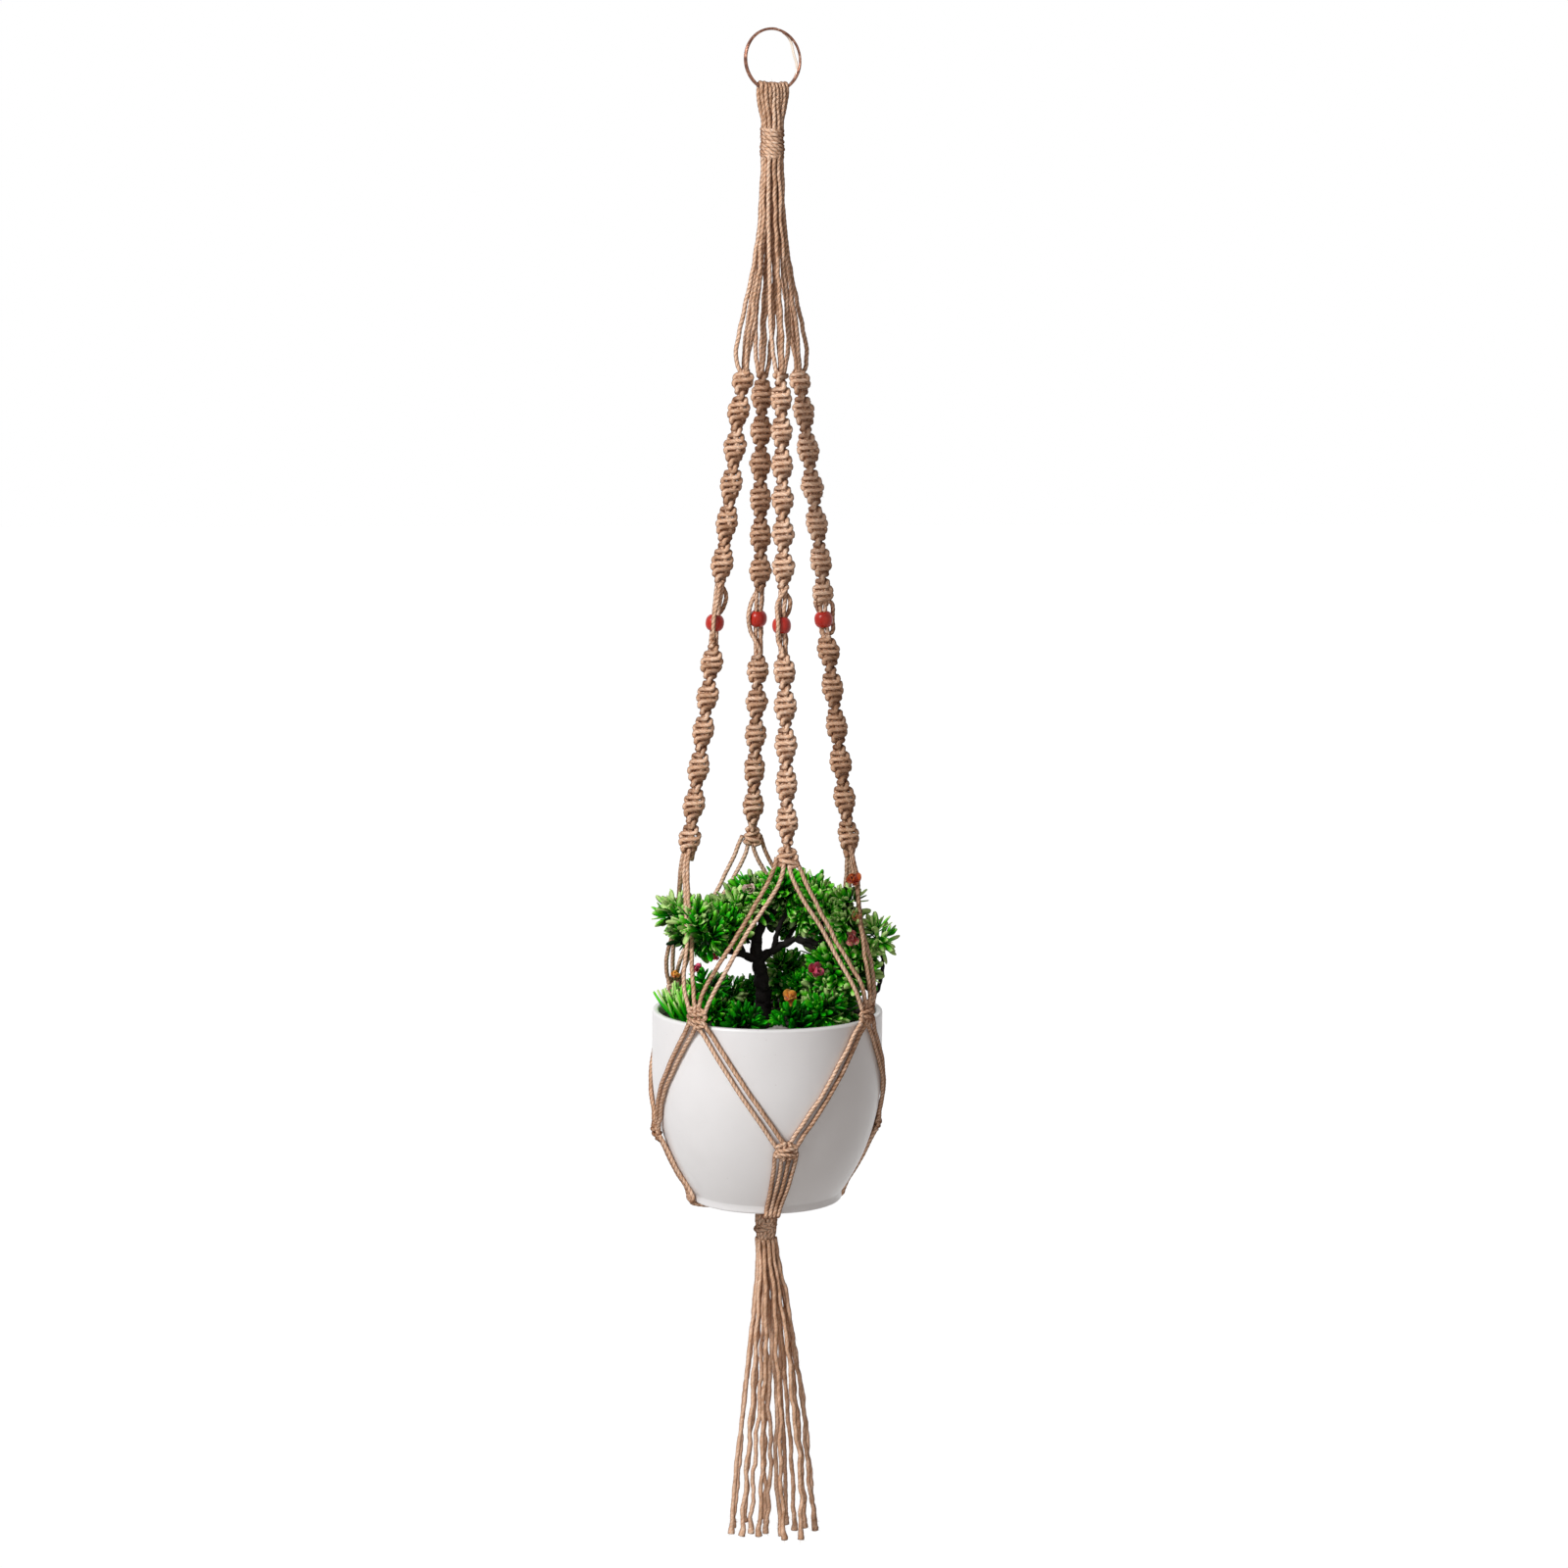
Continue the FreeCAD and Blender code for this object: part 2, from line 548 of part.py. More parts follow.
def lower_net():
    """Four cords lying on the pot between a rim knot and the side knots beside it."""
    cords = []
    steps = 6
    eighth = 45
    chord_rise = 1 / math.cos(math.radians(eighth / steps / 2))
    for side in (1, -1):
        for leaving, arriving in zip(NET_EXITS, reversed(NET_EXITS)):
            route = []
            for step in range(steps + 1):
                share = step / steps
                height = RIM_KNOT_FOOT + BURIED + (SIDE_KNOT_HEAD - RIM_KNOT_FOOT - 2 * BURIED) * share
                shift = leaving - (arriving + leaving) * share
                lift = LYING + ROUTE_SLACK if 0 < step < steps else LYING
                radius = (wall_radius(height) + lift) * chord_rise
                route.append(along(radius, eighth * side * share, side * shift, height))
            cords.append(tube(route))
    return cords


def cradle():
    """Four cords from a side knot down the flank, round the foot and under the pot."""
    foot = wall_radius(POT_BASE) + LYING
    cords = []
    for order in (-1.5, -0.5, 0.5, 1.5):
        shift = order * (PITCH + ROUTE_SLACK / 3)
        meeting = size("cradle_meeting") + (0 if abs(order) < 1 else 1.1 * PITCH)
        route = [Vector(SIDE_KNOT_MIDDLE, shift, SIDE_KNOT_FOOT + BURIED)]
        for share in (0.22, 0.42, 0.62, 0.8):
            height = SIDE_KNOT_FOOT + (POT_BASE - SIDE_KNOT_FOOT) * share
            route.append(Vector(wall_radius(height) + LYING + ROUTE_SLACK, shift, height))
        route.append(Vector(foot, shift, CRADLE_LEVEL))
        route.append(Vector(foot - size("cradle_bend"), shift, CRADLE_LEVEL))
        route.append(Vector(meeting, shift, CRADLE_LEVEL))
        cords.append(tube(route))
    return cords


upper_cords = Part.makeCompound(upper_net())
lower_cords = Part.makeCompound(lower_net())
cradle_cords = Part.makeCompound(cradle())
for side, azimuth in CORNERS:
    feature(f"upper_net_{side}", upper_cords, turned(azimuth))
    feature(f"lower_net_{side}", lower_cords, turned(azimuth))
for side, azimuth in ARMS:
    feature(f"cradle_cords_{side}", cradle_cords, turned(azimuth))

# ---- tassel: sixteen free cord ends ----------------------------------------------------------------

# Each end: where it leaves the knot (azimuth, outer or inner circle), then for each level below
# its start the distance from the axis and how far it has wandered round, in degrees.
TASSEL_LEVELS = (18, 45, 80, 120, 162)
# The whole tassel has settled a little to one side: how far in the end, towards where, and the
# depth within which most of that happens.
DRIFT, DRIFT_AZIMUTH, DRIFT_DEPTH = 6.6, -12.0, 55.0
TASSEL = [
    (0, "outer", 216, (6.9, 0), (11.5, 4), (15.5, -3), (22.5, 3), (25.5, -2), (31.0, 3)),
    (30, "outer", 218, (7.3, 1), (12.4, -3), (17.0, 3), (20.5, -3), (28.0, 2), (29.5, -3)),
    (60, "outer", 219, (6.9, -1), (10.6, 3), (17.6, -2), (21.0, 4), (24.0, -3), (31.5, 1)),
    (90, "outer", 218, (7.2, 0), (12.8, -2), (15.8, 4), (23.0, -2), (27.5, 3), (28.5, -2)),
    (120, "outer", 216, (6.8, 1), (11.0, -4), (16.8, 1), (20.2, -4), (26.5, 1), (32.5, -3)),
    (150, "outer", 214, (7.3, -1), (12.2, 3), (15.4, -3), (22.6, 2), (25.0, -3), (30.0, 3)),
    (180, "outer", 214, (6.9, 0), (10.8, -3), (17.4, 3), (20.6, -2), (27.8, 3), (30.5, -1)),
    (210, "outer", 210, (7.2, 1), (12.6, 3), (16.0, -2), (22.0, 4), (24.6, -2), (31.5, 2)),
    (240, "outer", 208, (6.9, -1), (11.2, -2), (17.2, 3), (20.8, -4), (27.6, 2), (29.0, -3)),
    (270, "outer", 209, (7.3, 0), (12.0, 4), (15.6, -4), (23.2, 2), (25.6, -3), (32.0, 2)),
    (300, "outer", 212, (6.8, 1), (10.9, -3), (17.0, 2), (21.4, -3), (28.2, 3), (30.0, -2)),
    (330, "outer", 209, (7.2, -1), (12.7, 2), (15.8, -2), (22.4, 4), (24.8, -2), (31.0, 2)),
    (0, "inner", 212, (2.9, 8), (4.6, -10), (8.6, 12), (9.6, -6), (14.5, 10), (15.0, -8)),
    (90, "inner", 220, (3.2, -6), (5.6, 12), (7.4, -12), (11.8, 8), (12.2, -10), (17.5, 6)),
    (180, "inner", 214, (2.9, 10), (4.8, -8), (8.8, 14), (9.4, -8), (15.0, 8), (16.0, -10)),
    (270, "inner", 210, (3.1, -8), (5.5, 10), (7.2, -14), (11.6, 6), (12.6, -12), (17.0, 8)),
]


def tail_route(azimuth, circle, length, *steps):
    """The points of one free end, from the knot's lower ball to its tip."""
    leaving = size("bundle_radius") if circle == "outer" else PITCH / math.sqrt(2)
    spot = polar(leaving, azimuth, 0)
    top = TASSEL_PIVOT - ball_depth(spot, WRAP + GAP)
    route = [Vector(spot.x, spot.y, top)]
    for level, (radius, wander) in zip(TASSEL_LEVELS + (length,), steps):
        drift = polar(DRIFT * (1 - math.exp(-level / DRIFT_DEPTH)), DRIFT_AZIMUTH, 0)
        route.append(polar(radius, azimuth + wander, top - level) + drift)
    return route


for number, row in enumerate(TASSEL, start=1):
    route = tail_route(*row)
    wire, tightest = cord_wire(route)
    print(f"tail_cord_{number:02d}: length {wire.Length:.1f}, tightest radius {tightest:.0f}")
    feature(f"tail_cord_{number:02d}", tube(route))

# ---- artificial bonsai, grass and flowers --------------------------------------------------------------

# Places are right, back and up from the middle of the rim; the last number of a knuckle is
# its share of the trunk's radius, and the last of a clump is its radius.
LIMBS = [
    [(-3, 0, -8, 1.0), (-3, 0, 8, 0.92), (-5, 0, 26, 0.86), (-8, 1, 42, 0.72)],
    [(-8, 1, 42, 0.6), (0, 1, 46, 0.5), (12, -1, 54, 0.44), (26, -3, 54, 0.36), (46, -4, 50, 0.3)],
    [(-8, 1, 42, 0.6), (-4, 2, 56, 0.45), (6, 2, 70, 0.36), (12, 2, 80, 0.3)],
    [(-8, 1, 42, 0.55), (-18, -3, 46, 0.45), (-32, -10, 52, 0.36), (-40, -8, 58, 0.3)],
    [(-4, 2, 56, 0.4), (-2, 16, 60, 0.36), (0, 30, 58, 0.3)],
    [(12, -1, 54, 0.4), (26, -4, 44, 0.36), (44, -6, 34, 0.3)],
]
CLUMPS = [
    (-10, 2, 78, 14), (9, -7, 81, 15), (11, 13, 79, 14), (29, -2, 77, 16), (42, -5, 66, 13),
    (-29, -16, 57, 14), (-42, -3, 60, 13), (-3, 33, 61, 15), (-23, 24, 53, 13), (20, 28, 57, 14),
    (47, -9, 30, 16), (50, 5, 47, 12), (41, 13, 33, 12),
]
GROUND_CLUMPS = [
    (-16, -46, -4, 13), (18, -46, -5, 12), (-38, -20, -2, 13), (31, 30, -4, 14), (-16, 46, -5, 13),
]
TUFT_FOOT = 7.0
TUFT_TOP = 2.0
GRASS = [(-54, -12, -14, 26), (-58, 6, -14, 22), (-48, 22, -10, 24), (-62, -3, -18, 20)]
FLOWERS = [
    (40, -23, 34), (18, -50, 6), (50, -8, 46), (44, -9, 78), (-38, -24, 50), (-38, -30, 6), (-14, -9, 86),
    (-8, 45, 68), (-20, -55, 4),
]


def limb(knuckles):
    """A tapered run of cones with a ball at each bend."""
    pieces = []
    thick = size("trunk_radius")
    spots = [(Vector(x, y, RIM + up), thick * share) for x, y, up, share in knuckles]
    for (low, low_radius), (high, high_radius) in zip(spots, spots[1:]):
        way = high - low
        pieces.append(Part.makeCone(low_radius, high_radius, way.Length, low, way))
        pieces.append(Part.makeSphere(high_radius, high))
    return pieces


def clump(x, y, up, radius):
    """A cushion of foliage; each ball is turned its own way, so that no seams meet."""
    ball = Part.makeSphere(radius)
    ball.Placement = Placement(Vector(x, y, RIM + up), Rotation(3 * x + up, 5 * y + 20, 7 * up))
    return ball


def joined(pieces):
    """The pieces grown together one by one."""
    whole = pieces[0]
    for piece in pieces[1:]:
        whole = whole.fuse(piece)
    return whole


wood = joined([piece for knuckles in LIMBS for piece in limb(knuckles)])
PLANT_ROOM = (size("pot_radius") - size("pot_wall") - 4, size("knot_rise") + size("soil_depth"))
above_soil = Part.makeCylinder(*PLANT_ROOM, Vector(0, 0, SOIL))
feature("bonsai_trunk", wood.common(above_soil))
feature("foliage", joined([clump(*place) for place in CLUMPS]))
ground = [clump(*place) for place in GROUND_CLUMPS]
blades = []
for x, y, lean, height in GRASS:
    blades.append(Part.makeCone(TUFT_FOOT, TUFT_TOP, height, Vector(x, y, SOIL), Vector(lean, 0, 40)))
feature("ground_leaves", joined(ground).common(above_soil))
feature("grass_tuft", joined(blades).common(above_soil))
heads = [Part.makeSphere(size("flower_radius"), Vector(x, y, RIM + up)) for x, y, up in FLOWERS]
feature("flowers", Part.makeCompound(heads))

# ---- checks and files ------------------------------------------------------------------------------------

doc.recompute()
for item in doc.Objects:
    if "Invalid" in item.State or "Error" in item.State:
        raise ValueError(f"{item.Label}: {item.State}")
for node in nodes:
    if node.Shape.isNull() or not node.Shape.isValid():
        raise ValueError(f"{node.Label}: no valid shape")
os.makedirs("parts", exist_ok=True)
for node in nodes:
    node.Shape.exportStep(f"parts/{node.Label}.step")
    print(f"{node.Label}: {len(node.Shape.Solids)} solids, {node.Shape.Volume / 1000:.2f} cm3")
print(f"{len(nodes)} nodes; tail knot from {TAIL_TOP:.2f}, tassel pivot {TASSEL_PIVOT:.2f}")
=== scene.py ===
import math

import bpy
import numpy as np
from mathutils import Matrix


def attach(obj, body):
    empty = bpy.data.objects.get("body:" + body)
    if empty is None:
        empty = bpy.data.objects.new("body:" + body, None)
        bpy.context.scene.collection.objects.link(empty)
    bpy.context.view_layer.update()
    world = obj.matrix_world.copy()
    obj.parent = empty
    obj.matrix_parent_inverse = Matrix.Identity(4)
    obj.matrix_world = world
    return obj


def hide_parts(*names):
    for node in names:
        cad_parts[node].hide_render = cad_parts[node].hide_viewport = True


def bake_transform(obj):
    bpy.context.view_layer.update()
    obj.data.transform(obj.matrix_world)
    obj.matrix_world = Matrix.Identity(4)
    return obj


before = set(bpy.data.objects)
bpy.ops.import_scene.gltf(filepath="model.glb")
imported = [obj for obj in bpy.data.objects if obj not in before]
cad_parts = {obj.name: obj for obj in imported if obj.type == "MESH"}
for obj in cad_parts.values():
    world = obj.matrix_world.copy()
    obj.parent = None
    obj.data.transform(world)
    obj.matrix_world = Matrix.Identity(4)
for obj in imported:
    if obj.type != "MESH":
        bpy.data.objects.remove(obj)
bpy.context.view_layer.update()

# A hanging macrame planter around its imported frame. Metres, +Z up; the hook bears at the origin.
mm = 0.001
cordWidth = 3.2 * mm
facing = -12.3  # azimuth of "to the right" for someone in front of the planter
print("frame loaded")


def polar(radius, azimuth, height):
    angle = np.radians(azimuth)
    return np.stack(np.broadcast_arrays(radius * np.cos(angle), radius * np.sin(angle), height), axis=-1)


def unit(vectors):
    return vectors / np.linalg.norm(vectors, axis=-1, keepdims=True)


def turnedBy(points, azimuth):
    c, s = math.cos(math.radians(azimuth)), math.sin(math.radians(azimuth))
    return np.asarray(points) @ np.array([[c, s, 0], [-s, c, 0], [0, 0, 1]])


camera = dict(azimuth=-102.3, distance=2.2263, height=-0.253, pitch=6.63, pan=-0.2750, roll=0.36, lens=74.25)


# Turns a camera or lamp to its three directions, as the columns of its matrix, and links it.
def standAt(body, right, up, back, place):
    matrix = np.eye(4)
    matrix[:3] = np.stack([right, up, back, place], axis=1)
    body.matrix_world = matrix.T
    bpy.context.scene.collection.objects.link(body)


# The camera looks at the hanger's axis, turned by pan, tipped down by pitch and rolled a little.
def placeCamera():
    seat = polar(camera["distance"], camera["azimuth"], camera["height"])
    heading = math.radians(camera["azimuth"] + 180 + camera["pan"])
    pitch = math.radians(camera["pitch"])
    roll = math.radians(camera["roll"])
    ahead, aside = math.cos(heading) * math.cos(pitch), math.sin(heading) * math.cos(pitch)
    forward = np.array([ahead, aside, -math.sin(pitch)])
    level = unit(np.cross(forward, [0, 0, 1]))
    upright = np.cross(level, forward)
    right = level * math.cos(roll) + upright * math.sin(roll)
    up = upright * math.cos(roll) - level * math.sin(roll)
    data = bpy.data.cameras.new("camera")
    data.lens = camera["lens"]
    data.clip_start = 0.05
    data.clip_end = 50
    body = bpy.data.objects.new("camera", data)
    standAt(body, right, up, -forward, seat)
    bpy.context.scene.camera = body


placeCamera()
print("camera placed")


# A part holds points, quads and triangles as point numbers, and values for each point by name. The grid's
# rows run along, its columns around; wrapped columns close on themselves, and an end can be closed by a
# fan to the middle of its row.
def gridPart(grid, wrapRows=False, wrapColumns=True, capStart=True, capEnd=True, **values):
    rows, columns = grid.shape[:2]
    number = np.arange(rows * columns).reshape(rows, columns)
    here = number if wrapRows else number[:-1]
    below = np.roll(number, -1, axis=0) if wrapRows else number[1:]
    if wrapColumns:
        hereNext, belowNext = np.roll(here, -1, axis=1), np.roll(below[:len(here)], -1, axis=1)
    else:
        here, hereNext = here[:, :-1], here[:, 1:]
        below, belowNext = below[:, :-1], below[:, 1:]
    quads = np.stack([here, hereNext, belowNext, below[:len(here)]], axis=-1).reshape(-1, 4)
    points = [grid.reshape(-1, 3)]
    held = {name: [np.asarray(value).reshape(rows * columns, -1)] for name, value in values.items()}
    tris = []
    for wanted, row, order in ((capStart, 0, 1), (capEnd, rows - 1, -1)):
        if wanted and not wrapRows:
            middle = rows * columns + len(tris)
            edge = number[row][::order]
            fan = np.stack([np.full(columns, middle), np.roll(edge, -1), edge], axis=-1)
            tris.append(fan)
            points.append(grid[row].mean(axis=0, keepdims=True))
            for name in held:
                held[name].append(held[name][0].reshape(rows, columns, -1)[row].mean(axis=0, keepdims=True))
    part = {"points": np.concatenate(points), "quads": quads,
            "tris": np.concatenate(tris) if tris else np.zeros((0, 3), int)}
    part["values"] = {name: np.concatenate(rows) for name, rows in held.items()}
    return part


# Copies of one part: each copy's points are its own matrix times the part's points, plus its place.
def copies(part, matrices, places, **values):
    count, size = len(places), len(part["points"])
    shift = np.arange(count)[:, None, None] * size
    many = {"points": (np.einsum("kij,nj->kni", matrices, part["points"]) + places[:, None]).reshape(-1, 3),
            "quads": (part["quads"][None] + shift).reshape(-1, 4),
            "tris": (part["tris"][None] + shift).reshape(-1, 3)}
    many["values"] = {name: np.tile(value, (count, 1)) for name, value in part["values"].items()}
    for name, value in values.items():
        many["values"][name] = np.repeat(np.asarray(value).reshape(count, -1), size, axis=0)
    return many


def joined(parts):
    starts = np.cumsum([0] + [len(part["points"]) for part in parts])
    whole = {"points": np.concatenate([part["points"] for part in parts])}
    for kind in ("quads", "tris"):
        whole[kind] = np.concatenate([part[kind] + start for part, start in zip(parts, starts)])
    names = {name for part in parts for name in part["values"]}
    whole["values"] = {}
    for name in names:
        width = next(part["values"][name].shape[1] for part in parts if name in part["values"])
        filled = [part["values"].get(name, np.zeros((len(part["points"]), width))) for part in parts]
        whole["values"][name] = np.concatenate(filled)
    return whole


# Puts parts into one mesh object, with the values as point attributes.
def putPiece(name, parts, material):
    whole = joined(parts)
    mesh = bpy.data.meshes.new(name)
    quads, tris = whole["quads"], whole["tris"]
    mesh.vertices.add(len(whole["points"]))
    mesh.vertices.foreach_set("co", whole["points"].astype(np.float32).ravel())
    corners = np.concatenate([quads.ravel(), tris.ravel()]).astype(np.int32)
    starts = np.concatenate([np.arange(len(quads)) * 4, len(quads) * 4 + np.arange(len(tris)) * 3])
    mesh.loops.add(len(corners))
    mesh.loops.foreach_set("vertex_index", corners)
    mesh.polygons.add(len(starts))
    mesh.polygons.foreach_set("loop_start", starts.astype(np.int32))
    mesh.update(calc_edges=True)
    mesh.shade_smooth()
    kinds = {1: ("FLOAT", "value"), 3: ("FLOAT_VECTOR", "vector"), 4: ("FLOAT_COLOR", "color")}
    for label, value in whole["values"].items():
        kind, slot = kinds[value.shape[1]]
        attribute = mesh.attributes.new(label, kind, "POINT")
        attribute.data.foreach_set(slot, value.astype(np.float32).ravel())
    piece = bpy.data.objects.new(name, mesh)
    mesh.materials.append(material)
    bpy.context.scene.collection.objects.link(piece)
    return piece


# Length of the path up to each of its points.
def travelled(path):
    return np.concatenate([[0], np.cumsum(np.linalg.norm(np.diff(path, axis=0), axis=1))])


# The same path with its points at even distances.
def evenly(path, spacing):
    travel = travelled(path)
    wanted = np.linspace(0, travel[-1], max(4, int(travel[-1] / spacing) + 1))
    return np.stack([np.interp(wanted, travel, path[:, axis]) for axis in range(3)], axis=1)


# A smooth line through the points: cubic pieces whose slopes are the neighbours' weighted differences.
def smoothPath(points, spacing=1.2 * mm):
    points = np.asarray(points, float)
    if len(points) < 3:
        return evenly(points, spacing)
    chord = travelled(points)
    slopes = np.gradient(points, chord, axis=0)
    fine = np.linspace(0, chord[-1], 24 * len(points))
    piece = np.clip(np.searchsorted(chord, fine, side="right") - 1, 0, len(points) - 2)
    span = (chord[piece + 1] - chord[piece])[:, None]
    t = (fine[:, None] - chord[piece][:, None]) / span
    path = ((1 + 2 * t) * (1 - t) ** 2 * points[piece] + t * (1 - t) ** 2 * span * slopes[piece]
            + t ** 2 * (3 - 2 * t) * points[piece + 1] - t ** 2 * (1 - t) * span * slopes[piece + 1])
    return evenly(path, spacing)


wobble = dict(fade=4 * mm, lengths=(1.0, 0.53, 0.29), heights=(1.0, 0.5, 0.25))


# A little waviness, none at the ends: in each direction, three sines of random phase and height.
def wander(path, amount, wavelength, rng):
    travel = travelled(path)
    ends = np.clip(np.minimum(travel, travel[-1] - travel) / wobble["fade"], 0, 1)[:, None]
    waves = np.array(wobble["lengths"])[:, None, None] * wavelength
    phases = rng.uniform(0, 2 * np.pi, (3, 1, 3))
    sizes = np.array(wobble["heights"])[:, None, None] * rng.uniform(-1, 1, (3, 1, 3))
    offset = (sizes * np.sin(2 * np.pi * travel[None, :, None] / waves + phases)).sum(axis=0)
    return path + amount * ends * offset


# Tangents by differences; the first side is square to the path and is then carried along by the least
# turn from each tangent to the next, all turns added up at once.
def pathFrames(path):
    tangent = unit(np.gradient(path, axis=0))
    seed = np.eye(3)[np.argmin(np.abs(tangent), axis=1)]
    side = unit(seed - tangent * (seed * tangent).sum(axis=1, keepdims=True))
    before, after = tangent[:-1], tangent[1:]
    axis = np.cross(before, after)
    cosine = (before * after).sum(axis=1, keepdims=True)
    carried = side[:-1] * cosine + np.cross(axis, side[:-1])
    carried += axis * (axis * side[:-1]).sum(axis=1, keepdims=True) / (1 + cosine)
    across = np.cross(after, carried)
    turn = np.arctan2((side[1:] * across).sum(axis=1), (side[1:] * carried).sum(axis=1))
    total = np.concatenate([[0], np.cumsum(turn)])[:, None]
    up = np.cross(tangent, side)
    return tangent, side * np.cos(total) - up * np.sin(total), side * np.sin(total) + up * np.cos(total)


# A tube: at each point of the path, places at the given angles and radii in the plane of side and up.
def tube(path, side, up, angle, radius):
    ways = np.cos(angle)[..., None] * side[:, None] + np.sin(angle)[..., None] * up[:, None]
    return path[:, None] + radius[..., None] * ways


jute = dict(plies=3, lay=10.5 * mm, groove=0.15, around=12)
hairs = dict(
    length=(1.0, 3.0), radius=0.055 * mm, thinner=0.8, rooted=0.4,
    out=(0.3, 1.0), along=(0.5, 1.2), bow=0.12, droop=(0.2, 0.6), tone=0.45)


# Twisted cord: a round section with a groove between plies, which turns once in each lay. Fibre holds the
# place on the turning section and along the cord.
def cordPart(path, width, rng, around=None, swell=None, tones=(0.0, 1.0), furrow=1.0):
    around = around or jute["around"]
    tangent, side, up = pathFrames(path)
    travel = travelled(path)
    angle = np.linspace(0, 2 * np.pi, around, endpoint=False)[None]
    turn = travel[:, None] * 2 * np.pi / (jute["lay"] * width / cordWidth) + rng.uniform(0, 6)
    groove = 1 - np.abs(np.cos(jute["plies"] / 2 * (angle - turn)))
    radius = width / 2 * (1 - jute["groove"] * furrow * groove)
    if swell is not None:
        radius = radius * swell[:, None]
    grid = tube(path, side, up, angle, radius)
    along = np.broadcast_to(travel[:, None] / mm + rng.uniform(0, 900), groove.shape)
    fibre = np.stack([np.cos(angle - turn), np.sin(angle - turn), along], axis=-1)
    tone = np.full(groove.shape, rng.uniform(*tones))
    # the groove value also drives the painted shade in the jute's grooves
    return gridPart(grid, fibre=fibre, groove=groove * furrow, tone=tone)


# Loose fibres: three-sided spikes rooted in cords, leaning along them and bent over. Each has two rings of
# three points and a tip.
def fuzzPart(paths, width, perMetre, rng, lengths=None):
    shortest, longest = lengths or hairs["length"]
    roots, ways = np.concatenate(paths), np.concatenate([pathFrames(path)[0] for path in paths])
    total = sum(travelled(path)[-1] for path in paths)
    count = int(total * perMetre)
    pick = rng.integers(0, len(roots), count)
    way = ways[pick] * rng.choice([-1, 1], (count, 1))
    out = unit(np.cross(ways[pick], rng.normal(size=(count, 3))))
    lean = unit(out * rng.uniform(*hairs["out"], (count, 1)) + way * rng.uniform(*hairs["along"], (count, 1)))
    bend = unit(np.cross(lean, rng.normal(size=(count, 3))))
    root = roots[pick] + out * width * hairs["rooted"]
    length = rng.uniform(shortest, longest, (count, 1)) * mm
    first, angle = unit(np.cross(lean, bend)), np.array([0, 2, 4]) * np.pi / 3
    ring = first[:, None] * np.cos(angle)[None, :, None] + bend[:, None] * np.sin(angle)[None, :, None]
    ring *= hairs["radius"]
    halfway = root + lean * length * 0.5 + bend * length * hairs["bow"]
    tip = root + lean * length * 0.9 + bend * length * rng.uniform(*hairs["droop"], (count, 1))
    collar = halfway[:, None] + ring * hairs["thinner"]
    points = np.concatenate([root[:, None] + ring, collar, tip[:, None]], axis=1)
    each = points.shape[1]
    shift = np.arange(count)[:, None, None] * each
    quads = np.array([[0, 1, 4, 3], [1, 2, 5, 4], [2, 0, 3, 5]])
    tris = np.array([[0, 2, 1], [3, 4, 6], [4, 5, 6], [5, 3, 6]])
    fibre = np.repeat(np.column_stack([out[:, :2], pick * 1.0]), each, axis=0)
    return {"points": points.reshape(-1, 3), "quads": (quads[None] + shift).reshape(-1, 4),
            "tris": (tris[None] + shift).reshape(-1, 3),
            "values": {"fibre": fibre, "groove": np.zeros((count * each, 1)),
                       "tone": np.full((count * each, 1), hairs["tone"])}}


# A material with its node tree, and its shader set to the finish given.
def newMaterial(name, finish):
    material = bpy.data.materials.new(name)
    material.use_nodes = True
    tree = material.node_tree
    shader = next(node for node in tree.nodes if node.type == "BSDF_PRINCIPLED")
    for label, value in finish.items():
        shader.inputs[label].default_value = value
    return material, tree, shader


def addNode(tree, kind, inputs=None, **settings):
    node = tree.nodes.new("ShaderNode" + kind)
    for key, value in settings.items():
        setattr(node, key, value)
    for key, value in (inputs or {}).items():
        if isinstance(value, bpy.types.NodeSocket):
            tree.links.new(value, node.inputs[key])
        else:
            node.inputs[key].default_value = value
    return node


def attribute(tree, name):
    return addNode(tree, "Attribute", attribute_name=name)


def colours(tree, factor, stops):
    ramp = addNode(tree, "ValToRGB", {0: factor})
    while len(ramp.color_ramp.elements) < len(stops):
        ramp.color_ramp.elements.new(0.5)
    for element, (position, colour) in zip(ramp.color_ramp.elements, stops):
        element.position = position
        element.color = (*colour, 1)
    return ramp.outputs[0]


def mixed(tree, factor, first, second, mode="MIX"):
    mix = addNode(tree, "Mix", data_type="RGBA", blend_type=mode)
    for key, value in ((0, factor), (6, first), (7, second)):
        if isinstance(value, bpy.types.NodeSocket):
            tree.links.new(value, mix.inputs[key])
        else:
            mix.inputs[key].default_value = value if key == 0 else (*value, 1)
    return mix.outputs[2]


def sums(tree, operation, first, second):
    return addNode(tree, "Math", {0: first, 1: second}, operation=operation).outputs[0]


def ownPlace(tree):
    return addNode(tree, "TexCoord").outputs["Object"]


def noise(tree, place, scale, detail, roughness=0.5):
    inputs = {"Vector": place, "Scale": scale, "Detail": detail, "Roughness": roughness}
    return addNode(tree, "TexNoise", inputs).outputs[0]


def stretched(tree, place, scale):
    return addNode(tree, "Mapping", {"Vector": place, "Scale": scale}).outputs[0]


def ranged(tree, value, low, high, least, most):
    return addNode(tree, "MapRange", {0: value, 1: low, 2: high, 3: least, 4: most}).outputs[0]


def roughened(tree, shader, height, strength, distance):
    bump = addNode(tree, "Bump", {"Height": height, "Strength": strength, "Distance": distance})
    tree.links.new(bump.outputs[0], shader.inputs["Normal"])
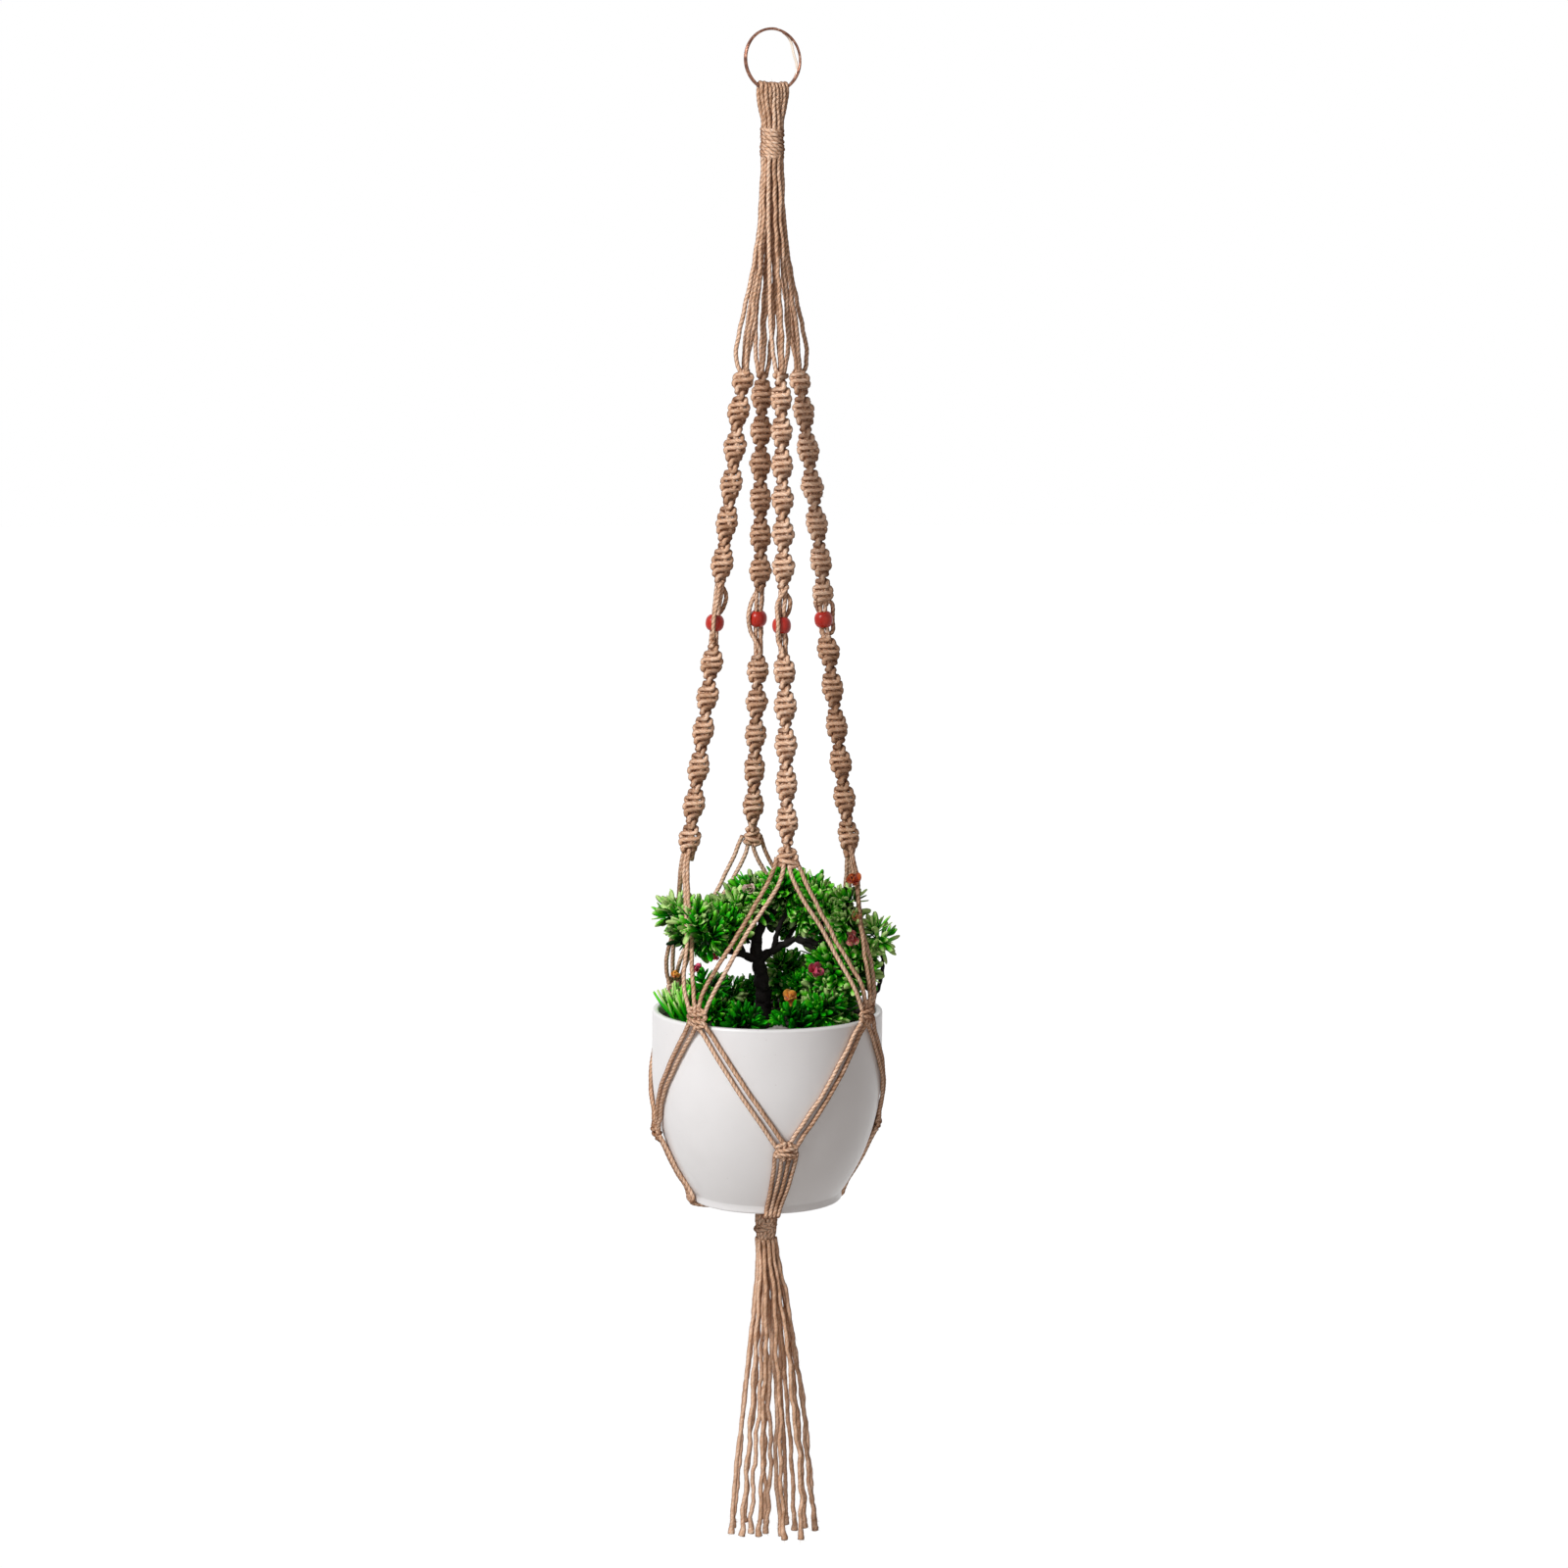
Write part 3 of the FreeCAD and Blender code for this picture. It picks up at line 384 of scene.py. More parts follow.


# Jute: streaks of light and dark fibre that follow the plies, and paler and darker stretches; painted shade
# darkens the grooves between plies, and painted shade darkens the sides of a cord that turn away from the
# eye.
def juteMaterial():
    material, tree, shader = newMaterial("jute", {"Specular IOR Level": 0.05})
    place = attribute(tree, "fibre").outputs["Vector"]
    streak = noise(tree, stretched(tree, place, (2.6, 2.6, 0.35)), 1.6, 5, 0.65)
    fine = noise(tree, stretched(tree, place, (9, 9, 0.9)), 1.5, 3)
    patch = noise(tree, stretched(tree, place, (0.25, 0.25, 0.09)), 1.0, 3)
    blend = sums(tree, "MULTIPLY_ADD", fine, 0.45)
    tree.links.new(streak, blend.node.inputs[2])
    body = colours(tree, blend, [(0.36, (0.190, 0.050, 0.013)), (0.54, (0.520, 0.228, 0.100)),
                                 (0.70, (0.860, 0.540, 0.350)), (0.9, (0.990, 0.830, 0.700))])
    tone = sums(tree, "MULTIPLY_ADD", attribute(tree, "tone").outputs["Fac"], 0.45)
    tone.node.inputs[2].default_value = 0.05
    mood = sums(tree, "ADD", tone, patch)
    tint = colours(tree, mood, [(0.36, (0.52, 0.43, 0.35)), (0.72, (1.0, 0.97, 0.94)),
                                (0.98, (1.14, 1.2, 1.25))])
    body = mixed(tree, 1.0, body, tint, "MULTIPLY")
    # painted shade: the grooves between plies are darkened towards dark brown
    shadow = ranged(tree, attribute(tree, "groove").outputs["Fac"], 0.3, 1.0, 0.0, 0.85)
    body = mixed(tree, shadow, body, (0.08, 0.022, 0.006))
    # painted shade: the sides of a cord seen edge-on are darkened towards dark brown
    paintedEdgeShade = addNode(tree, "LayerWeight", {"Blend": 0.5}).outputs["Facing"]
    body = mixed(tree, ranged(tree, paintedEdgeShade, 0.12, 0.8, 0.0, 0.85), body, (0.15, 0.043, 0.012))
    tree.links.new(body, shader.inputs["Base Color"])
    tree.links.new(ranged(tree, fine, 0, 1, 0.7, 0.95), shader.inputs["Roughness"])
    roughened(tree, shader, blend, 0.7, 0.25 * mm)
    return material


juteLook = juteMaterial()
print("jute ready")


tassel = dict(
    pivot=-826.27 * mm, wrapRadius=8.2 * mm, gap=0.3 * mm, outer=6.4 * mm, inner=3.3 * mm / math.sqrt(2),
    levels=(18, 45, 80, 120, 162), drift=6.6, driftAzimuth=-12.0, driftDepth=55.0,
    kink=0.62 * mm, kinkLength=31 * mm, pitch=1.3 * mm, tones=(0.0, 0.75), furrow=0.6,
    fraying=0.6, frayed=0.028, hair=900, brush=8, brushHair=6000, brushLength=(1.5, 4.5))
# azimuth, circle, length, then distance from the axis and wander round it at each level and at the tip
tails = [
    (0, "outer", 216, (6.9, 0), (11.5, 4), (15.5, -3), (22.5, 3), (25.5, -2), (31.0, 3)),
    (30, "outer", 218, (7.3, 1), (12.4, -3), (17.0, 3), (20.5, -3), (28.0, 2), (29.5, -3)),
    (60, "outer", 219, (6.9, -1), (10.6, 3), (17.6, -2), (21.0, 4), (24.0, -3), (31.5, 1)),
    (90, "outer", 218, (7.2, 0), (12.8, -2), (15.8, 4), (23.0, -2), (27.5, 3), (28.5, -2)),
    (120, "outer", 216, (6.8, 1), (11.0, -4), (16.8, 1), (20.2, -4), (26.5, 1), (32.5, -3)),
    (150, "outer", 214, (7.3, -1), (12.2, 3), (15.4, -3), (22.6, 2), (25.0, -3), (30.0, 3)),
    (180, "outer", 214, (6.9, 0), (10.8, -3), (17.4, 3), (20.6, -2), (27.8, 3), (30.5, -1)),
    (210, "outer", 210, (7.2, 1), (12.6, 3), (16.0, -2), (22.0, 4), (24.6, -2), (31.5, 2)),
    (240, "outer", 208, (6.9, -1), (11.2, -2), (17.2, 3), (20.8, -4), (27.6, 2), (29.0, -3)),
    (270, "outer", 209, (7.3, 0), (12.0, 4), (15.6, -4), (23.2, 2), (25.6, -3), (32.0, 2)),
    (300, "outer", 212, (6.8, 1), (10.9, -3), (17.0, 2), (21.4, -3), (28.2, 3), (30.0, -2)),
    (330, "outer", 209, (7.2, -1), (12.7, 2), (15.8, -2), (22.4, 4), (24.8, -2), (31.0, 2)),
    (0, "inner", 212, (2.9, 8), (4.6, -10), (8.6, 12), (9.6, -6), (14.5, 10), (15.0, -8)),
    (90, "inner", 220, (3.2, -6), (5.6, 12), (7.4, -12), (11.8, 8), (12.2, -10), (17.5, 6)),
    (180, "inner", 214, (2.9, 10), (4.8, -8), (8.8, 14), (9.4, -8), (15.0, 8), (16.0, -10)),
    (270, "inner", 210, (3.1, -8), (5.5, 10), (7.2, -14), (11.6, 6), (12.6, -12), (17.0, 8)),
]


def tailRoute(azimuth, circle, length, *steps):
    start = tassel[circle]
    ball = tassel["wrapRadius"] + tassel["gap"]
    top = tassel["pivot"] - math.sqrt(ball ** 2 - (start - cordWidth / 2) ** 2)
    route = [polar(start, azimuth, top)]
    for level, (radius, shift) in zip(tassel["levels"] + (length,), steps):
        drift = tassel["drift"] * (1 - math.exp(-level / tassel["driftDepth"]))
        aside = polar(drift * mm, tassel["driftAzimuth"], 0)
        route.append(polar(radius * mm, azimuth + shift, top - level * mm) + aside)
    return np.array(route)


# The route's own smooth line, read from a curve that has it as control points.
def routeLine(name, route):
    curve = bpy.data.curves.new(name + "_route", "CURVE")
    curve.dimensions = "3D"
    spline = curve.splines.new("NURBS")
    spline.points.add(len(route) - 1)
    spline.points.foreach_set("co", np.column_stack([route, np.ones(len(route))]).ravel())
    spline.order_u = 3
    spline.use_endpoint_u = True
    spline.resolution_u = 30
    holder = bpy.data.objects.new(name + "_route", curve)
    mesh = bpy.data.meshes.new_from_object(holder)
    line = np.zeros(len(mesh.vertices) * 3, np.float32)
    mesh.vertices.foreach_get("co", line)
    bpy.data.objects.remove(holder)
    bpy.data.curves.remove(curve)
    bpy.data.meshes.remove(mesh)
    return evenly(line.reshape(-1, 3).astype(float), tassel["pitch"])


# A tail is a cord whose plies spread a little at its cut end, and a brush of fibres that stands out of it.
def hangTails():
    rng = np.random.default_rng(16)
    lines, brushes = [], []
    for number, row in enumerate(tails, start=1):
        name = f"tail_{number:02d}"
        line = routeLine(name, tailRoute(*row))
        left = np.linspace(1, 0, len(line))
        fraying = tassel["fraying"] * np.exp(-(left / tassel["frayed"]) ** 1.5)
        swell = 1 + 0.06 * np.sin(np.arange(len(line)) * 0.5 + number) + fraying
        wavy = wander(line, tassel["kink"] * (1.4 - 0.8 * left[:, None]), tassel["kinkLength"], rng)
        cord = cordPart(wavy, cordWidth, rng, swell=swell, tones=tassel["tones"], furrow=tassel["furrow"])
        piece = putPiece(name, [cord], juteLook)
        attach(piece, "tassel")
        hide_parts(f"tail_cord_{number:02d}")
        lines.append(wavy)
        brushes.append(wavy[-tassel["brush"]:])
    hair = [fuzzPart(lines, cordWidth, tassel["hair"], rng),
            fuzzPart(brushes, cordWidth, tassel["brushHair"], rng, lengths=tassel["brushLength"])]
    fuzz = putPiece("tassel_fuzz", hair, juteLook)
    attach(fuzz, "tassel")


hangTails()
print("tassel hung")


hanger = dict(
    armTop=(20.0, -227.0), bead=(38.1, -398.0), armFoot=(57.0, -553.5), flatKnot=13.6,
    wrap=6.6, topWrap=(-61.6, -87.0), tailWrap=(-805.8, -834.2), cradle=-805.4)
sides = {"front": -90, "right": 0, "back": 90, "left": 180}
corners = {"front_right": -45, "back_right": 45, "back_left": 135, "front_left": -135}


# A cord through points in millimetres, smoothed and given a slight waviness.
def strand(points, rng, waviness=0.35, wavelength=23, spacing=1.2):
    return wander(smoothPath(np.asarray(points) * mm, spacing * mm), waviness * mm, wavelength * mm, rng)


# A knotting cord from many points in millimetres, which keeps its shape but for a slight waviness.
def workingCord(path, rng, spacing=1.1, waviness=0.14, wavelength=9):
    return wander(evenly(path * mm, spacing * mm), waviness * mm, wavelength * mm, rng)


# One piece of several cords with their loose fibres.
def ropePiece(name, paths, rng, width=cordWidth, hair=260, tones=(0.0, 1.0)):
    parts = [cordPart(path, width, rng, tones=tones) for path in paths]
    piece = putPiece(name, parts + [fuzzPart(paths, width, hair, rng)], juteLook)
    return piece


ring = dict(bore=38.8, wire=2.2, turn=15.0)
# each loop's place along the wire, how high it rides on it, and its place in the bundle below
loops = [
    (-9.4, 0.0, -165, 6.4), (-6.7, 1.1, -135, 6.4), (-4.0, 1.5, -135, 2.3), (-1.3, 2.0, -105, 6.4),
    (1.3, 1.9, -75, 6.4), (4.0, 1.4, -45, 2.3), (6.7, 1.2, -45, 6.4), (9.4, 0.2, -15, 6.4),
]


# The loops go up behind the ring's foot, over its wire in a half circle, and down in front.
def ringLoops():
    rng = np.random.default_rng(3)
    big = (ring["bore"] + ring["wire"]) / 2
    paths = []
    for place, lift, azimuth, radius in loops:
        saddle = 2.6 + lift
        wire = -ring["bore"] / 2 - math.sqrt(big ** 2 - place ** 2)
        arc = np.radians(np.linspace(0, 180, 13))
        over = np.stack([np.full(13, place), -saddle * np.cos(arc), wire + saddle * np.sin(arc)], axis=1)
        spot = polar(radius, azimuth, 0)
        front = [[spot[0], spot[1], -67.0], [spot[0] * 1.02, spot[1], -61.0],
                 [0.6 * place + 0.4 * spot[0], -0.75 * saddle + 0.25 * spot[1], wire - 13.0],
                 [place, -saddle, wire - 4.5]]
        back = [[x, -y, z] for x, y, z in reversed(front)]
        paths.append(strand(turnedBy(front + over.tolist() + back, ring["turn"]), rng, waviness=0.22))
    piece = ropePiece("ring_loop_cords", paths, rng)
    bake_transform(piece)
    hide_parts("ring_loops")


topKnot = dict(
    width=3.6, pitch=2.45, margin=1.6, swellings=(0.7, 1.0), waist=0.4, startTurn=200, slant=1.5, tuck=2.6)


# The upper gathering knot is one cord wound slantwise round the bundle, whose radius has two swellings. Its
# ends are tucked inwards.
def upperKnot():
    rng = np.random.default_rng(5)
    top, foot = hanger["topWrap"]
    height = top - foot - 2 * topKnot["margin"]
    turns = height / topKnot["pitch"]
    t = np.linspace(0, 1, int(turns * 40))
    z = top - topKnot["margin"] - t * height
    waist, (first, second) = topKnot["waist"], topKnot["swellings"]
    above, below = first * np.sin(np.pi * t / waist), second * np.sin(np.pi * (t - waist) / (1 - waist))
    swelling = np.where(t < waist, above, below)
    radius = hanger["wrap"] - 0.7 + np.abs(swelling) ** 0.7
    ends = np.clip(1 - t * turns * 2.2, 0, 1) + np.clip(1 - (1 - t) * turns * 2.2, 0, 1)
    angle = 360 * turns * t + topKnot["startTurn"]
    lift = topKnot["slant"] * np.sin(np.radians(angle - facing)) * np.sin(np.pi * t) ** 0.3
    path = polar(radius - topKnot["tuck"] * ends, angle, z + lift)
    path = workingCord(path, rng, waviness=0.25, wavelength=17)
    piece = ropePiece("top_gathering_knot", [path], rng, width=topKnot["width"] * mm, hair=320)
    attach(piece, "head")
    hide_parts("top_wrap_knot")


footKnot = dict(
    width=3.4, cords=13, radius=4.9, belly=1.3, twist=34, height=-821.5, drop=6.2,
    band=6.7, bandTurn=700, startTurn=150, slant=2.6, shift=0.5, tuck=2.6)


# The lower one shows its bundle: cords side by side that swell and turn a little, and one cord wound round
# them twice, slantwise, near its lower end.
def lowerKnot():
    rng = np.random.default_rng(9)
    top, foot = hanger["tailWrap"]
    z = np.linspace(top, foot, 14)
    share = (top - z) / (top - foot)
    paths = []
    for place in range(footKnot["cords"]):
        belly = footKnot["belly"] * np.sin(np.pi * share ** 0.8)
        radius = footKnot["radius"] + belly + 0.35 * rng.uniform(-1, 1)
        angle = place * 360 / footKnot["cords"] + footKnot["twist"] * share + rng.uniform(-5, 5)
        paths.append(strand(polar(radius, angle, z), rng, waviness=0.3, wavelength=13))
    t = np.linspace(0, 1, 90)
    angle = footKnot["bandTurn"] * t + footKnot["startTurn"]
    lean = np.cos(np.radians(angle) - math.radians(facing + 180))
    ends = np.clip(1 - 8 * t, 0, 1) + np.clip(8 * t - 7, 0, 1)
    radius = footKnot["band"] + footKnot["shift"] * lean - footKnot["tuck"] * ends
    height = footKnot["height"] - footKnot["drop"] * t - footKnot["slant"] * lean
    paths.append(workingCord(polar(radius, angle, height), rng, waviness=0.25, wavelength=14))
    # its cords get paler tones than the other cords, painted light that lifts them out of the pot's shade
    piece = ropePiece(
        "tail_gathering_knot", paths, rng, width=footKnot["width"] * mm, hair=320, tones=(0.6, 1.3))
    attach(piece, "tail_knot")
    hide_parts("tail_wrap_knot")


# Outward distance of an arm's middle line at a height, in millimetres.
def armLine(height):
    spots = [hanger["armTop"], hanger["bead"], hanger["armFoot"]]
    return np.interp(-np.asarray(height), [-z for x, z in spots], [x for x, z in spots])


# Each is one cord of an arm between the gathering knot and the knotting: its distance outward and sideways at
# each height.
leads = [
    [(6.3, 0, -80), (7.0, 0.3, -108), (9.2, 0.5, -133), (17.0, 0.5, -175), (23.6, 0.3, -203), (25.6, 0, -217),
     (24.6, 0, -226), (20.6, 0, -232)],
    [(2.4, 0, -80), (3.8, -0.5, -118), (8.0, -0.4, -160), (13.6, 0.4, -200), (18.2, 0, -224),
     (18.9, 0, -233)],
    [(5.5, 3.3, -80), (6.6, 3.9, -115), (10.6, 5.2, -160), (17.4, 5.9, -200), (19.6, 4.6, -220),
     (20.0, 2.2, -232)],
    [(5.5, -3.3, -80), (6.9, -4.2, -115), (11.0, -4.7, -160), (17.0, -5.6, -200), (19.4, -4.4, -220),
     (20.0, -2.2, -232)],
]
leadSpan = (-80, 145)  # height at which an arm starts to stray, and how far below that it strays in full

# For each arm and each of its two runs of knotting: depth of each bulge whose broad side shows in front, the
# depths where the run starts and ends, and how thin it is there; how far the arm strays to the right at some
# depths; and for the two cords that pass the bead, points below the bead's middle, round it from the right,
# and out from its axis. Two arms end in a flat square knot of the half width given.
arms = {
    "left": dict(
        runs=(dict(bulges=(233.5, 254.0, 279.7, 305.0, 330.4, 358.6), span=(228, 372), thin=0.6),
              dict(bulges=(427.2, 450.8, 473.8, 499.6, 524.7, 549.5), span=(414, 558), thin=0.8)),
        depths=(228, 258, 300, 360, 374, 392, 404, 420, 560),
        strays=(1.46, 0.42, 0.96, 0.5, 0.45, 0.1, 0.1, 1.2, 0.86),
        past=(((-14, -90, 4.6), (0, -98, 8.2), (11, -90, 5.2)),
              ((-17, 8, 5.4), (-9, 40, 5.8), (0, 90, 8.2), (11, 80, 5)))),
    "front": dict(
        runs=(dict(bulges=(246.8, 268.6, 291.0, 314.1, 337.1, 360.2, 384), span=(230, 374), thin=0.8),
              dict(bulges=(408, 429.5, 453.2, 480.2, 506.0, 531.0, 555.4), span=(418, 546), thin=0.75)),
        depths=(228, 362, 378, 392, 404, 420, 436, 560),
        strays=(2.26, 2.03, 1.4, 0.2, 0.2, 1.0, 1.6, 0.86), flat=7.6,
        past=(((-14, -150, 3.6), (0, -107, 8.2), (12, -130, 4.4)),
              ((-15, 0, 5.2), (-9, 30, 5.6), (0, 85, 8.2), (12, 60, 5)))),
    "right": dict(
        runs=(dict(bulges=(233.9, 254.3, 280.6, 306.7, 332.3, 357.9, 380), span=(228, 385), thin=0.75),
              dict(bulges=(419.6, 445.5, 472.1, 497.5, 523.0, 549.5), span=(410, 558), thin=0.8)),
        depths=(228, 255, 300, 330, 366, 380, 392, 404, 420, 560),
        strays=(-0.74, 0.14, 0.96, 1.82, 2.2, 1.5, 0.2, 0.2, 1.2, 0.86),
        past=(((-12, 14, 5.6), (0, 40, 8.2), (9, 20, 4.8)),
              ((-13, 170, 4.4), (0, 100, 8.2), (10, 120, 4.8)))),
    "back": dict(
        runs=(dict(bulges=(244.1, 269.0, 291.3, 315.8, 341.0, 365.7), span=(229, 377), thin=0.8),
              dict(bulges=(411, 436.4, 458.7, 482.6, 507.3, 533.6, 557), span=(425, 546), thin=0.8)),
        depths=(228, 300, 362, 376, 392, 404, 424, 560),
        strays=(-1.54, -1.04, 0.85, 0.8, 0.15, 0.15, 1.1, 0.86), flat=5.6,
        past=(((-9, -166, 5.6), (0, -146, 8.2), (10, -160, 5.6)),
              ((-12, 60, 4.4), (0, 80, 8.2), (12, 60, 4.4)))),
}
knotting = dict(
    rise=4.15, width=6.2, depth=2.05, pinch=0.45, square=1.9, cord=3.5 * mm, core=4.3 * mm, apart=2.6)
flatKnot = dict(drop=555.5, depth=2.5, height=9.0, taper=0.3)


# Middle of an arm at a depth: the straight lines of the hanger, and how far this arm strays to the right.
def armMiddle(side, drop):
    stray = np.interp(drop, arms[side]["depths"], arms[side]["strays"])
    drop = np.asarray(drop, float)
    return polar(armLine(-drop), sides[side], -drop) + np.asarray(stray)[..., None] * polar(1, facing, 0)


# Half knots: a cord goes from side to side as the squared-off wave w tanh(q cos(pi u)) / tanh(q) and from
# front to back as -(d sin(pi u) - c sin(3 pi u)), u counting the knots; the other cord is one knot on. The
# whole turns half a turn from bulge to bulge.
def halfKnots(side, run, rng):
    (top, foot), bulges, thin = run["span"], run["bulges"], run["thin"]
    count = (foot - top) / knotting["rise"]
    u = np.linspace(0, count, int(count * 30))
    paths = []
    edge = np.clip(np.minimum(u, count - u) / 1.3, 0, 1)
    uneven = 1 + 0.045 * np.sin(u * 1.3 + rng.uniform(0, 6)) + 0.03 * np.sin(u * 2.9 + rng.uniform(0, 6))
    size = (thin + (1 - thin) * edge ** 0.7) * uneven
    step = np.diff(bulges)
    marks = np.concatenate([[bulges[0] - step[0]], bulges, [bulges[-1] + step[-1]]])
    square = knotting["square"]
    for cord in (0, 1):
        v = u + cord
        drop = top + (u + 0.06 * np.sin(2 * np.pi * v)) * knotting["rise"]
        turn = facing + 180 * np.interp(drop, marks, np.arange(len(marks)))
        x = knotting["width"] * size * np.tanh(square * np.cos(np.pi * v)) / math.tanh(square)
        y = knotting["pinch"] * np.sin(3 * np.pi * v) - knotting["depth"] * np.sin(np.pi * v)
        y *= 0.5 + 0.5 * size
        path = armMiddle(side, drop) + x[:, None] * polar(1, turn, 0) + y[:, None] * polar(1, turn + 90, 0)
        paths.append(workingCord(path, rng))
    return paths, (turn[0], turn[-1])


# Three hidden cords side by side run through a row of knots.
def filling(side, top, foot, turns, rng):
    drop = np.linspace(top, foot, 40)
    turn = np.interp(drop, (top, foot), turns)
    middle = armMiddle(side, drop)
    aside = knotting["apart"] * polar(1, turn, 0)
    return [strand(middle + hand * aside, rng, waviness=0.1) for hand in (-1, 0, 1)]


# A square knot lying flat: the same two lines, but one cord keeps in front. Its points are sideways,
# outward and down from the knot's middle.
def squareKnot(halves, width, depth, height, rng, taper=0.0):
    u = np.linspace(-0.35, halves + 0.35, int(halves * 30))
    s, s3 = np.abs(np.sin(np.pi * u)), np.sin(3 * np.pi * np.mod(u, 1))
    out = depth * (0.72 * s - 0.28 * s3)
    lengths = ((u + 0.05 * np.sin(2 * np.pi * u)) / halves - 0.5) * height
    tuck = 0.35 + 0.65 * np.clip(np.minimum(u + 0.35, halves + 0.35 - u) / 0.35, 0, 1)
    wide = width * (1 + 0.05 * rng.uniform(-1, 1)) * tuck * (1 - taper * (1 - u / halves))
    front = np.stack([wide * np.cos(np.pi * u), out, lengths + 0.3], axis=1)
    back = np.stack([-wide * np.cos(np.pi * u), -out, lengths - 0.3], axis=1)
    return [front, back]


beadCords = dict(apart=(1.5, 1.8, 1.55, 1.55, 1.8, 1.5), swing=25)


# The bare cords by a bead: two through it, and two past it that run on from the knotting's own cords.
def beadStrands(side, arm, runEnds, rng):
    upperFoot, lowerTop = arm["runs"][0]["span"][1], arm["runs"][1]["span"][0]
    beadDrop = -hanger["bead"][1]
    strands = []
    way = facing + rng.uniform(-beadCords["swing"], beadCords["swing"])
    drop = np.array([upperFoot - 6, upperFoot + 1, beadDrop - 6, beadDrop + 6, lowerTop - 1, lowerTop + 6])
    apart = np.array(beadCords["apart"])[:, None]
    for hand in (-1, 1):
        strands.append(strand(armMiddle(side, drop) + hand * apart * polar(1, way, 0), rng, waviness=0.08))
    for number, rows in enumerate(arm["past"]):
        above, below = runEnds[0][number], runEnds[1][number]
        points = [above[-5] / mm, above[-1] / mm]
        for down, around, out in rows:
            points.append(armMiddle(side, beadDrop + down) + out * polar(1, facing + around, 0))
        points += [below[0] / mm, below[4] / mm]
        strands.append(strand(points, rng, waviness=0.15))
    return strands


def hangArm(side, azimuth):
    rng = np.random.default_rng(200 + azimuth)
    arm = arms[side]
    start, reach = leadSpan
    paths = []
    for rows in leads:
        points = turnedBy(rows, azimuth)
        share = np.clip((start - points[:, 2:]) / reach, 0, 1) ** 1.5
        straying = share * arm["strays"][0] * polar(1, facing, 0)
        paths.append(strand(points + straying, rng, waviness=0.6, wavelength=33))
    lead = ropePiece(f"lead_cords_{side}", paths, rng)
    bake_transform(lead)
    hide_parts(f"arm_cords_{side}")

    knots, fillers, runEnds = [], [], []
    for run, further in zip(arm["runs"], (3, 6)):
        paths, turned = halfKnots(side, run, rng)
        top, foot = run["span"]
        knots += paths
        fillers += filling(side, top - 1, foot + further, turned, rng)
        runEnds.append(paths)
    if "flat" in arm:
        # a square knot with its broad side in front ends the arm
        sizes = arm["flat"], flatKnot["depth"], flatKnot["height"]
        for local in squareKnot(2, *sizes, rng, taper=flatKnot["taper"]):
            across, out = local[:, :1], local[:, 1:2]
            path = armMiddle(side, flatKnot["drop"] + local[:, 2])
            moved = path + across * polar(1, facing, 0) - out * polar(1, facing + 90, 0)
            knots.append(workingCord(moved, rng))
    parts = [cordPart(path, knotting["cord"], rng, furrow=0.6) for path in knots]
    parts += [cordPart(path, knotting["core"], rng, around=8) for path in fillers]
    piece = putPiece(f"knotting_{side}", parts + [fuzzPart(knots, knotting["cord"], 380, rng)], juteLook)
    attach(piece, "carrier")
    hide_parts(f"knotted_arm_{side}")

    piece = ropePiece(f"bead_cords_{side}", beadStrands(side, arm, runEnds, rng), rng)
    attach(piece, "carrier")
    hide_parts(f"arm_cords_{side}")


ringLoops()
upperKnot()
lowerKnot()
for side, azimuth in sides.items():
    hangArm(side, azimuth)
print("arms knotted")


pot = dict(
    radius=80.4, rim=-669.5, height=134.0, straight=40.5, flank=154.5, foot=5.5, wall=4.5, floor=6.0,
    rimRound=1.4, footRound=1.6, soil=-677.5)
net = dict(
    rimKnot=-663.2, sideKnot=-753.6, rimHalf=7.5, sideHalf=5.0, lying=1.9, hanging=3.4,
    upper=((1.8, 8.2), (8.2, 2.2)), lower=((1.7, 8.4), (8.4, 1.7)))
rimKnots = dict(width=7.3, depth=2.3, height=9.0, proud=3.5, core=9, coreProud=3.5, coreApart=1.6)
sideKnots = dict(width=7.0, depth=2.3, height=7.0, proud=4.4, core=7, coreProud=4.2, coreApart=1.6)
# degrees by which the knots at the rim, and those below them, hang off their places
rimTurns = {"front_right": -2.6, "back_right": -2.3, "back_left": -5.0, "front_left": -2.0}
sideTurns = {270: -2.3, 0: -2.3, 90: -2.3, 180: -0.5}


# Outer radius of the pot at a height: upright at the top, an arc below.
def wallRadius(height, inset=0.0):
    low = np.maximum(height, pot["rim"] - pot["height"] + pot["foot"])
    below = np.maximum(pot["rim"] - pot["straight"] - low, 0)
    return pot["radius"] - pot["flank"] + np.sqrt((pot["flank"] - inset) ** 2 - below ** 2)


# A flat knot laid on the pot, where sideways becomes a turn round it, and two cords that run through it.
def knotOnPot(azimuth, level, shape, rng):
    paths = []
    for local in squareKnot(2, shape["width"], shape["depth"], shape["height"], rng):
        z = level - local[:, 2]
        radius = wallRadius(z) + shape["proud"] + local[:, 1]
        path = polar(radius, azimuth + np.degrees(local[:, 0] / radius), z)
        paths.append(workingCord(path, rng, spacing=1.05, waviness=0.15))
    z = np.linspace(level + shape["core"], level - shape["core"], 9)
    radius = wallRadius(z) + shape["coreProud"]
    for side in (1, -1):
        turn = azimuth + np.degrees(side * shape["coreApart"] / radius)
        paths.append(strand(polar(radius, turn, z), rng, waviness=0.1))
    return paths


